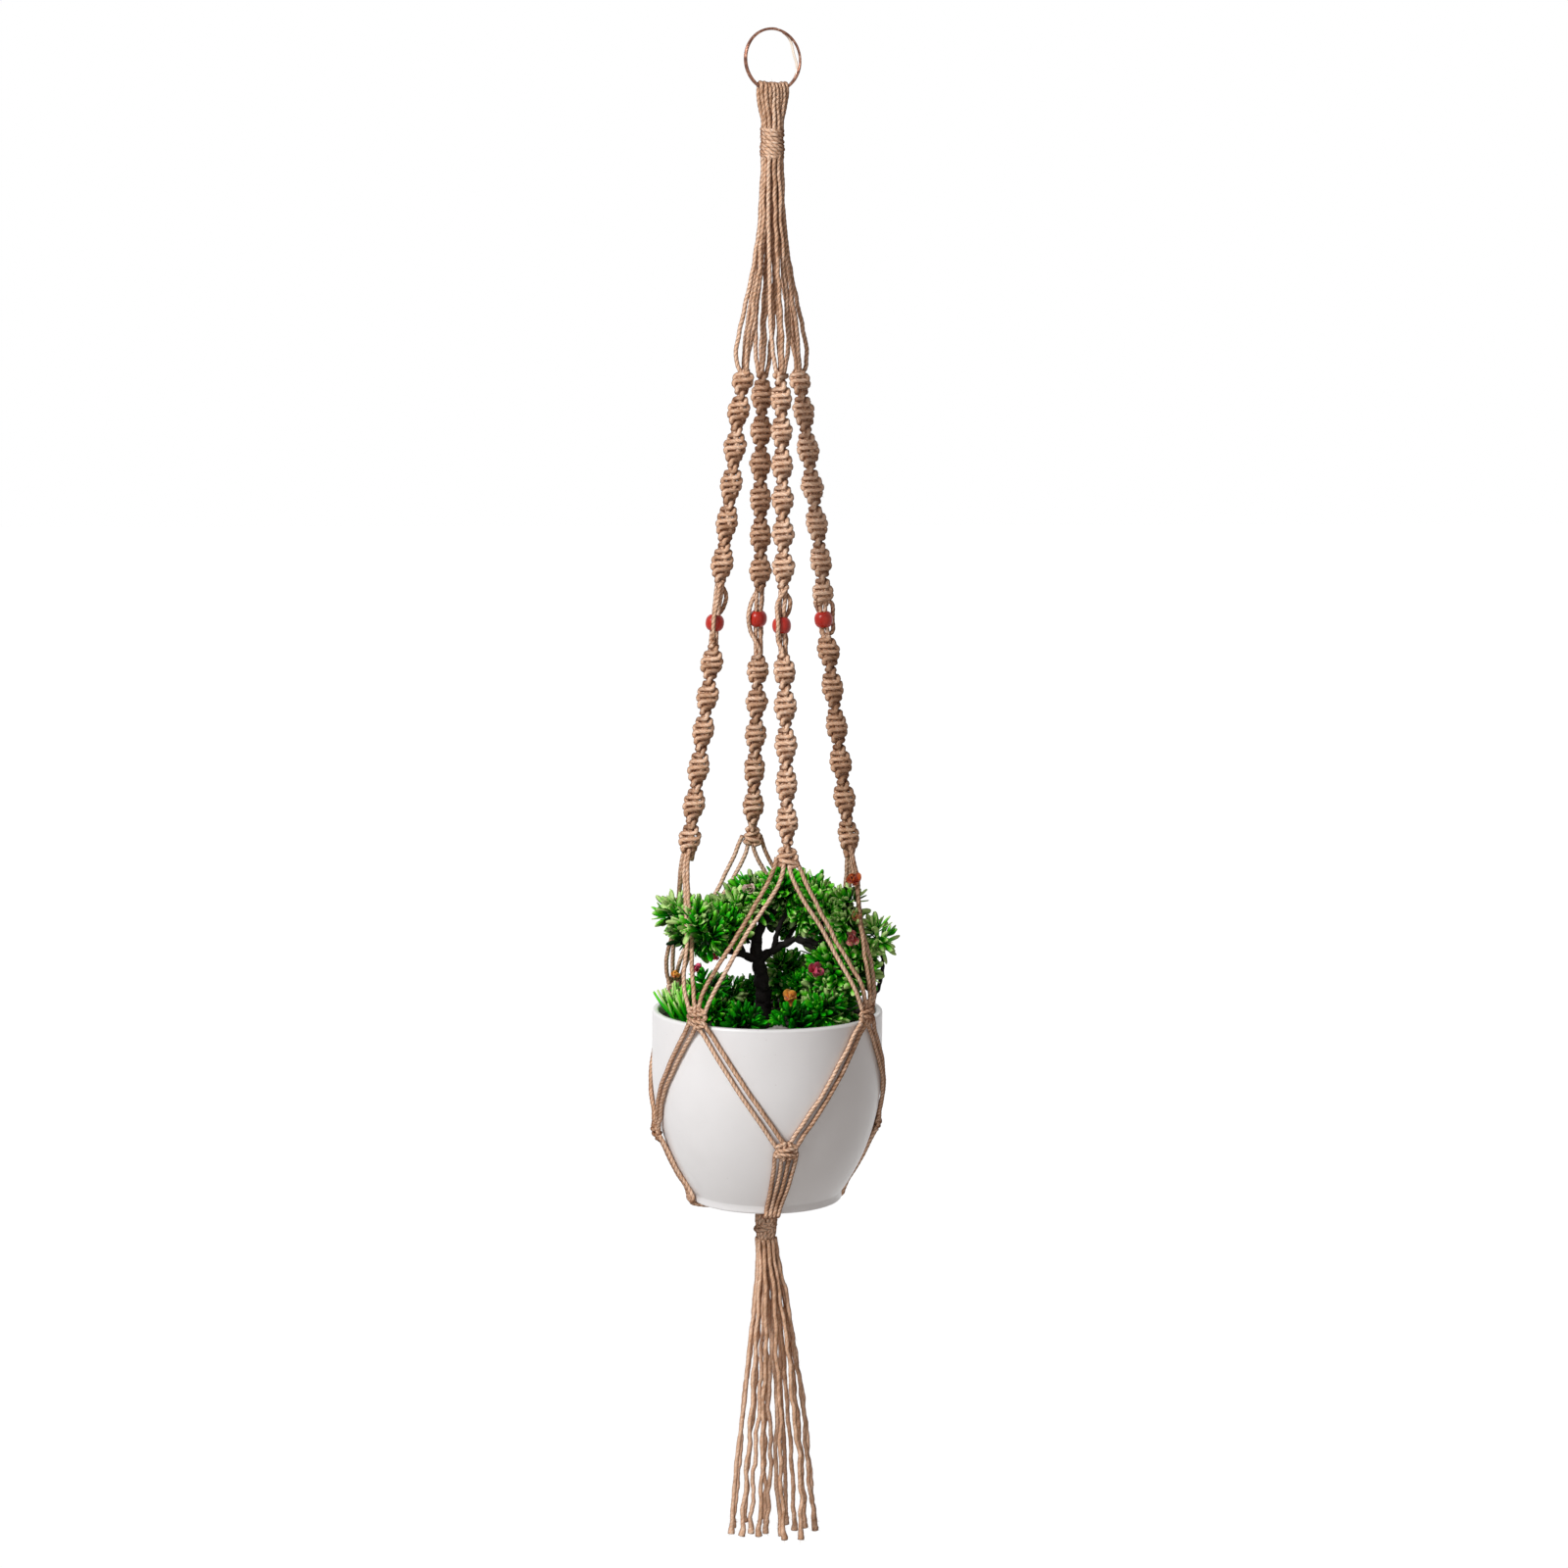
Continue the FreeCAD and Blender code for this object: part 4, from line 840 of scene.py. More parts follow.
# Upper net: two cords from the foot of each arm to the knot at the rim between them.
def upperCords(azimuth, seat, rng):
    out, height = hanger["armFoot"][0] + 1.0, hanger["armFoot"][1] - hanger["flatKnot"] / 2
    radius = pot["radius"] + net["hanging"]
    cords = []
    for side in (1, -1):
        for leaving, arriving in net["upper"]:
            leaves = [[out - 1.2, side * leaving * 0.8, height + 5], [out, side * leaving, height]]
            inArm, below = turnedBy(leaves, azimuth - 45 * side)
            turn = math.degrees(side * arriving / radius)
            end = polar(radius, seat - turn, net["rimKnot"] + net["rimHalf"])
            inside = polar(radius, seat - 0.7 * turn, net["rimKnot"] + 2)
            points = [inArm, below, 0.5 * (below + end), end, inside]
            cords.append(strand(points, rng, waviness=0.4, wavelength=41))
    return cords


# Lower net: two cords from a knot at the rim down the pot to each of the side knots next to it.
def lowerCords(azimuth, seat, rng):
    top, bottom = net["rimKnot"] - net["rimHalf"], net["sideKnot"] + net["sideHalf"]
    share = np.linspace(-0.07, 1.05, 18)
    z = top + (bottom - top) * share
    lifted = 1.4 * np.clip(1 - 12 * share, 0, 1) + 1.6 * np.clip(12 * share - 11, 0, 1)
    radius = wallRadius(z) + net["lying"] + lifted
    cords = []
    for side in (1, -1):
        aim = azimuth + sideTurns[(azimuth + 45 * side) % 360] - seat
        for leaving, arriving in net["lower"]:
            shift = leaving - (arriving + leaving) * share
            turn = seat + aim * share + side * (45 * share + np.degrees(shift / radius))
            cords.append(strand(polar(radius, turn, z), rng, waviness=0.25, wavelength=37))
    return cords


def hangNet(corner, azimuth):
    rng = np.random.default_rng(300 + azimuth)
    seat = azimuth + rimTurns[corner]
    piece = ropePiece(f"upper_net_cords_{corner}", upperCords(azimuth, seat, rng), rng)
    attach(piece, "carrier")
    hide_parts(f"upper_net_{corner}")
    piece = ropePiece(f"rim_knot_cords_{corner}", knotOnPot(seat, net["rimKnot"], rimKnots, rng), rng)
    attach(piece, "carrier")
    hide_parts(f"rim_knot_{corner}")
    piece = ropePiece(f"lower_net_cords_{corner}", lowerCords(azimuth, seat, rng), rng)
    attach(piece, "carrier")
    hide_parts(f"lower_net_{corner}")


# lean is how far a side's cords drift sideways on their way down, and fan how far they draw together
cradle = dict(
    lean={"front": -7.5, "right": 3.0, "back": 4.0, "left": 2.0},
    fan={"front": 2.1, "right": 1.2, "back": 2.1, "left": -0.5},
    shares=(-0.08, 0.04, 0.2, 0.4, 0.6, 0.8, 0.93), proud=(2.2, 1.2, 0.3, 0.0, 0.0, 0.0, 0.1),
    orders=(-1.5, -0.5, 0.5, 1.5), spread=4.9, start=83, apart=2.8, uneven=0.25)


# A cord down the flank, round the foot and in under the pot to the tail knot: outward, sideways and up.
def cradleRoute(side, order, sideTurn, rng):
    base, under = pot["rim"] - pot["height"], hanger["cradle"]
    start = net["sideKnot"] - net["sideHalf"]
    share = np.array(cradle["shares"])
    z = start + (base - start) * share
    share = np.clip(share, 0, 1)
    lean = cradle["lean"][side]
    drift = lean * share ** 1.3 + math.radians(sideTurn) * cradle["start"] * (1 - share)
    proud = np.array(cradle["proud"]) + cradle["uneven"] * rng.uniform(0, 1, len(share))
    across = order * (cradle["spread"] - cradle["fan"][side] * share) + drift
    out = wallRadius(z) + net["lying"] + proud
    flank = np.stack([np.sqrt(out ** 2 - across ** 2), across, z], axis=1)
    edge, aside = wallRadius(base), order * cradle["apart"] + lean
    turn = [[edge + 1.6, aside, base - 0.4], [edge - 2.5, aside, under - 0.1]]
    x, y, _ = polar(4.6 if abs(order) > 1 else 3.4, order * 26, 0)
    inward = [[0.5 * edge, order * 3.1 + 0.5 * lean, under], [12.0, order * 2.9, under - 0.3],
              [x + 2.4, y + 0.4 * order, under - 2.6], [x, y, under - 9.0]]
    return flank.tolist() + turn + inward


def hangCradle(side, azimuth):
    rng = np.random.default_rng(500 + azimuth)
    sideTurn = sideTurns[azimuth % 360]
    knot = knotOnPot(azimuth + sideTurn, net["sideKnot"], sideKnots, rng)
    piece = ropePiece(f"side_knot_cords_{side}", knot, rng)
    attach(piece, "carrier")
    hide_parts(f"side_knot_{side}")

    cords = []
    for order in cradle["orders"]:
        route = turnedBy(cradleRoute(side, order, sideTurn, rng), azimuth)
        cords.append(strand(route, rng, waviness=0.2, wavelength=29))
    piece = ropePiece(f"cradle_{side}", cords, rng)
    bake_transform(piece)
    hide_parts(f"cradle_cords_{side}")


for corner, azimuth in corners.items():
    hangNet(corner, azimuth)
for side, azimuth in sides.items():
    hangCradle(side, azimuth)
print("net tied")


# A closed profile of radius and height, turned once round an axis through the place.
def lathe(profile, around, place=(0, 0, 0), way=(0, 0, 1)):
    profile = np.asarray(profile, float)
    along = unit(np.asarray(way, float))
    first = unit(np.cross(along, [0.3, 1, 0.2]))
    second = np.cross(along, first)
    angle = np.linspace(0, 2 * np.pi, around, endpoint=False)
    spoke = np.cos(angle)[:, None] * first + np.sin(angle)[:, None] * second
    grid = profile[:, None, :1] * spoke[None] + profile[:, None, 1:] * along + np.asarray(place, float)
    return grid * mm


# Corner of a profile rounded by a quarter circle of points.
def arcPoints(middle, radius, start, end, count=7):
    angle = np.radians(np.linspace(start, end, count))
    return np.stack([middle[0] + radius * np.cos(angle), middle[1] + radius * np.sin(angle)], axis=1)


# slid is how far each bead has slid down its cords; it stays on the axis that it turns about
bead = dict(
    middle=(38.246, 0, -397.983), axis=(-0.11297, 0, 0.99360),
    wide=6.4, high=6.3, power=2.3, hole=3.3, lip=0.5,
    slid={"front": 1.4, "right": 0.0, "back": 1.5, "left": 1.7})


# The bead: outside it is a slightly squared ball, (r / a)^n + (z / b)^n = 1, which keeps its height at the
# drilled hole, whose lips are rounded.
def beads():
    material, tree, shader = newMaterial("bead_lacquer", {
        "Roughness": 0.34, "Specular IOR Level": 0.3, "Coat Weight": 0.15, "Coat Roughness": 0.2})
    place = ownPlace(tree)
    cloud = noise(tree, place, 110, 3)
    body = colours(tree, cloud, [(0.3, (0.42, 0.010, 0.005)), (0.7, (0.62, 0.034, 0.010))])
    tree.links.new(body, shader.inputs["Base Color"])
    roughened(tree, shader, noise(tree, place, 900, 2), 0.04, 0.1 * mm)
    wide, high, power, hole, lip = (bead[size] for size in ("wide", "high", "power", "hole", "lip"))
    out = np.sin(np.radians(np.linspace(90, 0, 26))) * (wide - hole - lip) + hole + lip
    up = high * (1 - (out / wide) ** power) ** (1 / power)
    crest = up[-1]
    upper = np.stack([out, up], axis=1).tolist()
    upper += [(hole + 0.55 * lip, crest + 0.02), (hole + 0.15 * lip, crest - 0.2)]
    upper += [(hole, crest - 0.7), (hole, 1.5)]
    profile = upper + [(r, -z) for r, z in reversed(upper)][:-1]
    for side, azimuth in sides.items():
        way = turnedBy(bead["axis"], azimuth)
        middle = turnedBy(bead["middle"], azimuth) - bead["slid"][side] * way
        grid = lathe(profile, 64, middle, way)
        piece = putPiece(f"red_bead_{side}", [gridPart(grid, wrapRows=True)], material)
        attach(piece, f"bead_{side}")
        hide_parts(f"bead_{side}")


beads()

# turns are in degrees along the wire: where the second coil begins, and where it runs inside the first
coil = dict(
    wire=1.8, slack=0.3, start=82, length=2 * 360 - 14, apart=1.5, crossing=350, crossingSpan=24,
    dip=3.6, dipTurn=655, dipSpan=28, highlightDip=1.6, taper=0.75, around=14)


# The split ring: one wire wound twice, side by side, its ends lying against the neighbouring turn. The second
# turn is a little smaller at its upper right, so that it shows inside the first; there its colour is paled
# towards cream, a painted highlight.
def splitRing():
    material, tree, shader = newMaterial("copper_wire", {"Metallic": 0.9})
    cloud = noise(tree, ownPlace(tree), 420, 4)
    body = colours(tree, cloud, [(0.35, (0.13, 0.055, 0.038)), (0.6, (0.30, 0.14, 0.09)),
                                 (0.78, (0.62, 0.42, 0.32))])
    # painted highlight: the wire is paled towards cream where the second turn dips inside the first
    body = mixed(tree, attribute(tree, "bright").outputs["Fac"], body, (0.90, 0.78, 0.66))
    tree.links.new(body, shader.inputs["Base Color"])
    tree.links.new(ranged(tree, cloud, 0, 1, 0.2, 0.45), shader.inputs["Roughness"])
    roughened(tree, shader, cloud, 0.2, 0.05 * mm)
    turn = np.linspace(0, coil["length"], 460)
    angle = np.radians(turn + coil["start"])
    dip = coil["dip"] * np.exp(-((turn - coil["dipTurn"]) / coil["dipSpan"]) ** 2)
    r = ring["bore"] / 2 + coil["wire"] / 2 + coil["slack"] - dip
    y = coil["apart"] * (1 / (1 + np.exp(-(turn - coil["crossing"]) / coil["crossingSpan"])) - 0.5)
    path = np.stack([r * np.cos(angle), y, -ring["bore"] / 2 + r * np.sin(angle)], axis=1) * mm
    path = turnedBy(path, ring["turn"])
    tangent, side, up = pathFrames(path)
    around = np.linspace(0, 2 * np.pi, coil["around"], endpoint=False)[None]
    taper = np.ones((len(path), 1))
    taper[[0, -1]] = coil["taper"]
    grid = tube(path, side, up, around, coil["wire"] / 2 * mm * taper)
    # how far the painted highlight goes at each point, full where the second turn dips furthest inward
    bright = np.repeat(np.clip(dip / coil["highlightDip"], 0, 1)[:, None], coil["around"], axis=1)
    piece = putPiece("split_ring", [gridPart(grid, bright=bright)], material)
    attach(piece, "ring")
    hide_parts("hanging_ring")


splitRing()


# Points up the pot's wall between two heights, drawn in by an inset.
def potProfile(inset, low, high):
    z = np.concatenate([[low, low + 0.3], np.linspace(low + 2, high - 2, 44), [high - 0.3, high]])
    return np.stack([wallRadius(z, inset), z], axis=1)


# The pot's profile goes outside from the foot up, over the rounded rim and down inside to the floor.
def throwPot():
    material, tree, shader = newMaterial("pot_glaze", {
        "Roughness": 0.38, "Coat Weight": 0.25, "Coat Roughness": 0.2})
    place = ownPlace(tree)
    speck = addNode(tree, "TexVoronoi", {"Vector": place, "Scale": 95, "Randomness": 1.0}).outputs["Distance"]
    cloud = noise(tree, place, 22, 3)
    body = colours(tree, cloud, [(0.3, (0.82, 0.812, 0.816)), (0.7, (0.862, 0.855, 0.862))])
    body = mixed(tree, ranged(tree, speck, 0.05, 0.02, 0.0, 0.35), body, (0.45, 0.42, 0.40))
    tree.links.new(body, shader.inputs["Base Color"])
    roughened(tree, shader, noise(tree, place, 180, 2), 0.08, 0.3 * mm)
    base = pot["rim"] - pot["height"]
    footRadius = float(wallRadius(base))
    rimRound, footRound = pot["rimRound"], pot["footRound"]
    inner = float(wallRadius(pot["rim"], pot["wall"]))
    floor = base + pot["floor"]
    profile = np.concatenate([
        [(0.01, base + 0.8), (footRadius - 9, base + 0.8), (footRadius - 7.5, base)],
        arcPoints((footRadius - footRound, base + footRound), footRound, -90, 0),
        potProfile(0, base + pot["foot"], pot["rim"] - rimRound),
        arcPoints((pot["radius"] - rimRound, pot["rim"] - rimRound), rimRound, 0, 90),
        arcPoints((inner + rimRound, pot["rim"] - rimRound), rimRound, 90, 180),
        potProfile(pot["wall"], floor + 2, pot["rim"] - rimRound)[::-1],
        [(float(wallRadius(floor, pot["wall"])) - 2, floor), (0.01, floor)]])
    piece = putPiece("ceramic_pot", [gridPart(lathe(profile, 224))], material)
    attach(piece, "pot")
    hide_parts("plant_pot")


throwPot()
print("pot thrown")

plantAxes = dict(right=polar(1, facing, 0), back=polar(1, facing + 90, 0))


# A place right, back and up from the middle of the rim, as the planter is seen from the front.
def seen(spots):
    spots = np.atleast_2d(np.asarray(spots, float))
    flat = spots[:, :1] * plantAxes["right"] + spots[:, 1:2] * plantAxes["back"]
    return flat + np.array([0, 0, 1.0]) * (spots[:, 2:3] + pot["rim"])


# A bumpy value at each place: sines in turned directions with falling size.
def bumps(x, y, rng, scale, layers=5):
    total = np.zeros(np.broadcast(x, y).shape)
    for layer in range(layers):
        way, phase = rng.uniform(0, 2 * np.pi), rng.uniform(0, 2 * np.pi)
        across = x * np.cos(way) + y * np.sin(way)
        total += np.sin(across * 2 * np.pi / scale * 1.7 ** layer + phase) / 1.5 ** layer
    return total


# Small stones: a ball squeezed and dented at random.
def pebble(rng, rows=5, around=7):
    latitude = np.radians(np.linspace(-70, 70, rows))[:, None]
    grid = polar(np.cos(latitude), np.linspace(0, 360, around, endpoint=False), np.sin(latitude))
    return gridPart(grid * (1 + 0.14 * rng.uniform(-1, 1, (rows, around, 1))))


# Matrices of random turns, each from a random quaternion.
def turns(rng, count):
    quaternion = unit(rng.normal(size=(count, 4)))
    w, x, y, z = quaternion.T
    rows = [[1 - 2 * (y * y + z * z), 2 * (x * y - w * z), 2 * (x * z + w * y)],
            [2 * (x * y + w * z), 1 - 2 * (x * x + z * z), 2 * (y * z - w * x)],
            [2 * (x * z - w * y), 2 * (y * z + w * x), 1 - 2 * (x * x + y * y)]]
    return np.moveaxis(np.array(rows), 2, 0)


soil = dict(
    radius=75.0, loose=75.4, edge=6.0, ripple=26, rippleHeight=0.9, gap=0.4, grains=1500, spread=72,
    grainSize=(0.6, 2.0), grainShape=(0.6, 1.2), paleFrom=0.93, pale=0.7,
    stones=((8, -60, -6.5), (15, -62, -7), (2, -64, -7.5)), stone=(9.5, 7.0, 5.5), stoneSizes=(1.0, 0.7, 0.6))


# Soil fills the pot as a turned body, whose top is lumpy away from the wall. Grains and three stones lie on
# it.
def fillSoil():
    rng = np.random.default_rng(7)
    material, tree, shader = newMaterial("soil", {"Roughness": 0.95})
    place = ownPlace(tree)
    grain = noise(tree, place, 240, 6, 0.7)
    lump = addNode(tree, "TexVoronoi", {"Vector": place, "Scale": 300}).outputs["Distance"]
    body = colours(tree, grain, [(0.3, (0.012, 0.009, 0.007)), (0.6, (0.05, 0.036, 0.026)),
                                 (0.85, (0.13, 0.10, 0.08))])
    stoneColour = colours(tree, grain, [(0.3, (0.16, 0.15, 0.14)), (0.8, (0.42, 0.40, 0.37))])
    pale = attribute(tree, "pale").outputs["Fac"]
    tree.links.new(mixed(tree, pale, body, stoneColour), shader.inputs["Base Color"])
    roughened(tree, shader, lump, 0.6, 0.8 * mm)
    base = pot["rim"] - pot["height"] + pot["floor"] + soil["gap"]
    wall = np.linspace(base, pot["soil"], 20)
    profile = np.concatenate([
        [(0.01, base)], np.stack([wallRadius(wall, pot["wall"] + soil["gap"]), wall], axis=1),
        np.stack([np.linspace(soil["radius"], 0.01, 56), np.full(56, pot["soil"])], axis=1)])
    grid = lathe(profile, 150)
    top = grid[1 + len(wall):]
    ripple = bumps(grid[..., 0] / mm, grid[..., 1] / mm, rng, soil["ripple"])[1 + len(wall):]
    ripple = ripple * soil["rippleHeight"]
    inward = (soil["loose"] * mm - np.linalg.norm(top[..., :2], axis=-1)) / (soil["edge"] * mm)
    top[..., 2] += ripple * np.clip(inward, 0, 1) * mm
    parts = [gridPart(grid, pale=np.zeros(grid.shape[:2]))]
    count = soil["grains"]
    away, turn = soil["spread"] * np.sqrt(rng.uniform(0, 1, count)), rng.uniform(0, 360, count)
    spot = polar(away, turn, pot["soil"] + 0.3)
    sizes = rng.uniform(*soil["grainSize"], (count, 1, 1)) * mm
    sizes = sizes * rng.uniform(*soil["grainShape"], (count, 1, 3))
    crumb = pebble(rng)
    matrices = turns(rng, count) * sizes
    pales = (rng.uniform(0, 1, count) > soil["paleFrom"]) * soil["pale"]
    parts.append(copies(crumb, matrices, spot * mm, pale=pales))
    shapes = np.eye(3) * np.array([soil["stone"]]) * np.array(soil["stoneSizes"])[:, None, None] * mm
    parts.append(copies(pebble(rng, 12, 18), shapes, seen(soil["stones"]) * mm, pale=np.ones(len(shapes))))
    piece = putPiece("potting_soil", parts, material)
    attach(piece, "pot")
    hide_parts("soil_filling")


fillSoil()


# Each run is right, back and up from the middle of the rim, with its share of the trunk's radius.
limbs = [
    [(-3, 0, -10, 1.25), (-3.5, 0, -2, 1.02), (-3, 0, 8, 0.92), (-5, 0, 26, 0.86), (-8, 1, 42, 0.74),
     (-7, 1.5, 50, 0.6), (-4, 2, 58, 0.5), (6, 2, 70, 0.38), (12, 2, 80, 0.26)],
    [(-7, 1, 33, 0.62), (-2, 1, 37, 0.52), (7, 0, 43, 0.46), (20, -2, 49, 0.4), (33, -3, 47, 0.34),
     (46, -4, 48, 0.26)],
    [(-7, 1, 34, 0.56), (-16, -3, 38, 0.46), (-30, -10, 44, 0.36), (-42, -8, 58, 0.26)],
    [(-5, 2, 55, 0.42), (-2, 16, 60, 0.36), (0, 30, 60, 0.24)],
    [(20, -2, 49, 0.32), (32, -4, 43, 0.26), (46, -7, 32, 0.2)],
    [(4, 0, 41, 0.36), (8, -3, 58, 0.3), (16, -6, 72, 0.24), (28, -4, 78, 0.18)],
    [(-16, -3, 38, 0.3), (-22, 10, 50, 0.26), (-24, 22, 54, 0.2)],
    [(12, -1, 46, 0.3), (18, 14, 54, 0.26), (20, 26, 58, 0.2)],
    [(-40, -8, 58, 0.26), (-50, -8, 58, 0.22), (-62, -6, 66, 0.16)],
    [(64, 6, -9, 0.34), (72, 4, 3, 0.3), (79, 1, 20, 0.26), (80, -2, 36, 0.22), (76, -3, 48, 0.16)],
    [(46, -4, 48, 0.26), (56, -6, 48, 0.22), (62, -8, 40, 0.16)],
    [(-30, -10, 44, 0.3), (-34, -26, 48, 0.24), (-41, -42, 54, 0.18)],
]
trunk = dict(radius=5.6, around=18, spacing=1.1, relief=0.13)
# cushions of leaves: right, back, up, radius
clumps = [
    (-10, 2, 78, 14), (9, -7, 81, 15), (11, 13, 79, 14), (29, -2, 77, 16), (42, -5, 66, 13),
    (-29, -16, 57, 14), (-42, -3, 60, 13), (-3, 33, 61, 15), (-23, 24, 53, 13), (20, 28, 57, 14),
    (47, -9, 30, 16), (50, 5, 47, 12), (41, 13, 33, 12), (-62, -6, 66, 11), (-54, -9, 50, 12),
    (-41, -45, 57, 12), (-50, -40, 66, 10), (62, -8, 40, 13), (76, -3, 50, 9), (62, -12, 26, 12),
    (55, -10, 60, 11), (56, -6, 74, 10), (22, -2, 70, 12), (-22, -2, 70, 12),
]
groundClumps = [
    (-16, -46, -4, 13), (18, -46, -3, 13), (-38, -20, 0, 13), (31, 30, 2, 15), (-16, 46, -2, 13),
    (38, -32, 4, 14), (-50, 8, 2, 12), (50, 4, 2, 13), (26, 8, 12, 13), (16, 26, 14, 14),
    (38, -16, 14, 13), (-42, -12, 16, 9), (-30, 30, 4, 12), (4, 44, 2, 13), (12, 24, 24, 13),
]


# A limb is a swept circle whose radius carries bark: long ridges along it and knots now and then.
def sweep(knuckles, rng):
    knuckles = np.asarray(knuckles, float)
    spots = seen(knuckles[:, :3])
    chord = travelled(spots)
    path = wander(smoothPath(spots * mm, trunk["spacing"] * mm), 0.5 * mm, 11 * mm, rng)
    share = np.interp(np.linspace(0, chord[-1], len(path)), chord, knuckles[:, 3])
    tangent, side, up = pathFrames(path)
    angle = np.linspace(0, 2 * np.pi, trunk["around"], endpoint=False)[None]
    travel = np.arange(len(path))[:, None] * trunk["spacing"]
    ridges = np.sin(5 * angle + 0.25 * travel + rng.uniform(0, 6)) * 0.55
    ridges = ridges + np.sin(3 * angle - 0.5 * travel) * 0.45
    relief = 1 + trunk["relief"] * ridges + 0.08 * np.sin(travel * 0.7 + 2 * angle)
    return gridPart(tube(path, side, up, angle, trunk["radius"] * mm * share[:, None] * relief))


# One leaf lies along +x: a thin paddle, widest past its middle and round-ended, folded a little along its
# rib and bent up. Its half width is w (0.3 + 0.7 smooth(t / 0.65)) sqrt(1 - ((t - 0.65) / 0.36)^2 past 0.65).
def leafShape(length, width, thickness=0.45, bend=0.16, rows=7):
    t = np.sin(np.linspace(0, 1, rows) * np.pi / 2) ** 1.15
    grown = np.clip(t / 0.65, 0, 1)
    rounding = np.sqrt(np.clip(1 - (np.clip(t - 0.65, 0, 1) / 0.36) ** 2, 0.02, 1))
    half = width / 2 * (0.3 + 0.7 * grown ** 2 * (3 - 2 * grown)) * rounding
    rise = bend * length * t ** 2
    fold = 0.22 * half
    x = length * t
    across = np.stack([-half, 0 * t, half, 0 * t], axis=1)
    high = np.stack([rise + fold, rise, rise + fold, rise - thickness], axis=1)
    grid = np.stack([np.repeat(x[:, None], 4, axis=1), across, high], axis=-1)
    return gridPart(grid, tip=np.repeat(t[:, None], 4, axis=1))


# Frames for leaves: along, across and upright as columns.
def leafFrames(along, towards):
    across = unit(np.cross(towards, along))
    return np.stack([along, across, np.cross(along, across)], axis=-1)


netTurnRadius = 84  # at which a cord's sideways place at the rim becomes a turn


# Straight runs of the upper net, against which leaves are cleared.
def netRuns():
    starts, ends = [], []
    (out, height), radius = hanger["armFoot"], pot["radius"] + net["hanging"]
    for corner, azimuth in corners.items():
        for side in (1, -1):
            for leaving, arriving in net["upper"]:
                starts.append(turnedBy([out + 1, side * leaving, height], azimuth - 45 * side))
                turn = azimuth + rimTurns[corner] - math.degrees(side * arriving / netTurnRadius)
                ends.append(polar(radius, turn, net["rimKnot"]))
    return np.array(starts), np.array(ends)


# Distance from places to the nearest net cord, in millimetres.
def netDistance(spots):
    starts, ends = netRuns()
    run = ends - starts
    offset = spots[:, None] - starts[None]
    share = np.clip((offset * run).sum(axis=-1) / (run ** 2).sum(axis=-1), 0, 1)
    return np.linalg.norm(offset - share[..., None] * run, axis=-1).min(axis=1)


sprig = dict(
    spiral=2.4, low=1.72, seat=(0.42, 0.62), deepSeat=0.35, deepFrom=0.3, rise=0.35, opening=(14, 62),
    stem=(3.4, 3.6), sizes=(0.72, 1.12), tipSize=0.72, footSize=0.34, radius=13)
# within the pot a leaf's tip keeps inside its wall or rises above its rim
potRoom = dict(low=3, radius=73.5, above=4, below=3)


# Places and ways of a cushion's sprigs, in a spiral from its top down; some sit deep inside.
def sprigPlaces(spots, perClump, leaf, rng):
    roots, ways, deep, tints = [], [], [], []
    for x, y, up, radius in spots:
        count = int(perClump * (radius / sprig["radius"]) ** 2)
        k = np.arange(count) + 0.5
        height = 1 - sprig["low"] * k / count
        ring = np.sqrt(np.clip(1 - height ** 2, 0, 1))
        turn = sprig["spiral"] * k
        way = np.stack([ring * np.cos(turn), ring * np.sin(turn), height], axis=1)
        way = unit(way + rng.normal(0, leaf["untidy"], (count, 3)))
        share = rng.uniform(*sprig["seat"], (count, 1)) * rng.choice([1, 1, 1, sprig["deepSeat"]], (count, 1))
        roots.append(seen([(x, y, up)]) + way * radius * share)
        ways.append(unit(way + np.array([0, 0, sprig["rise"]])))
        deep.append(share[:, 0] < sprig["deepFrom"])
        tints.append(np.full(count, rng.uniform(*leaf["tints"])) + rng.normal(0, 0.16, count))
    return [np.concatenate(values) for values in (roots, ways, deep, tints)]


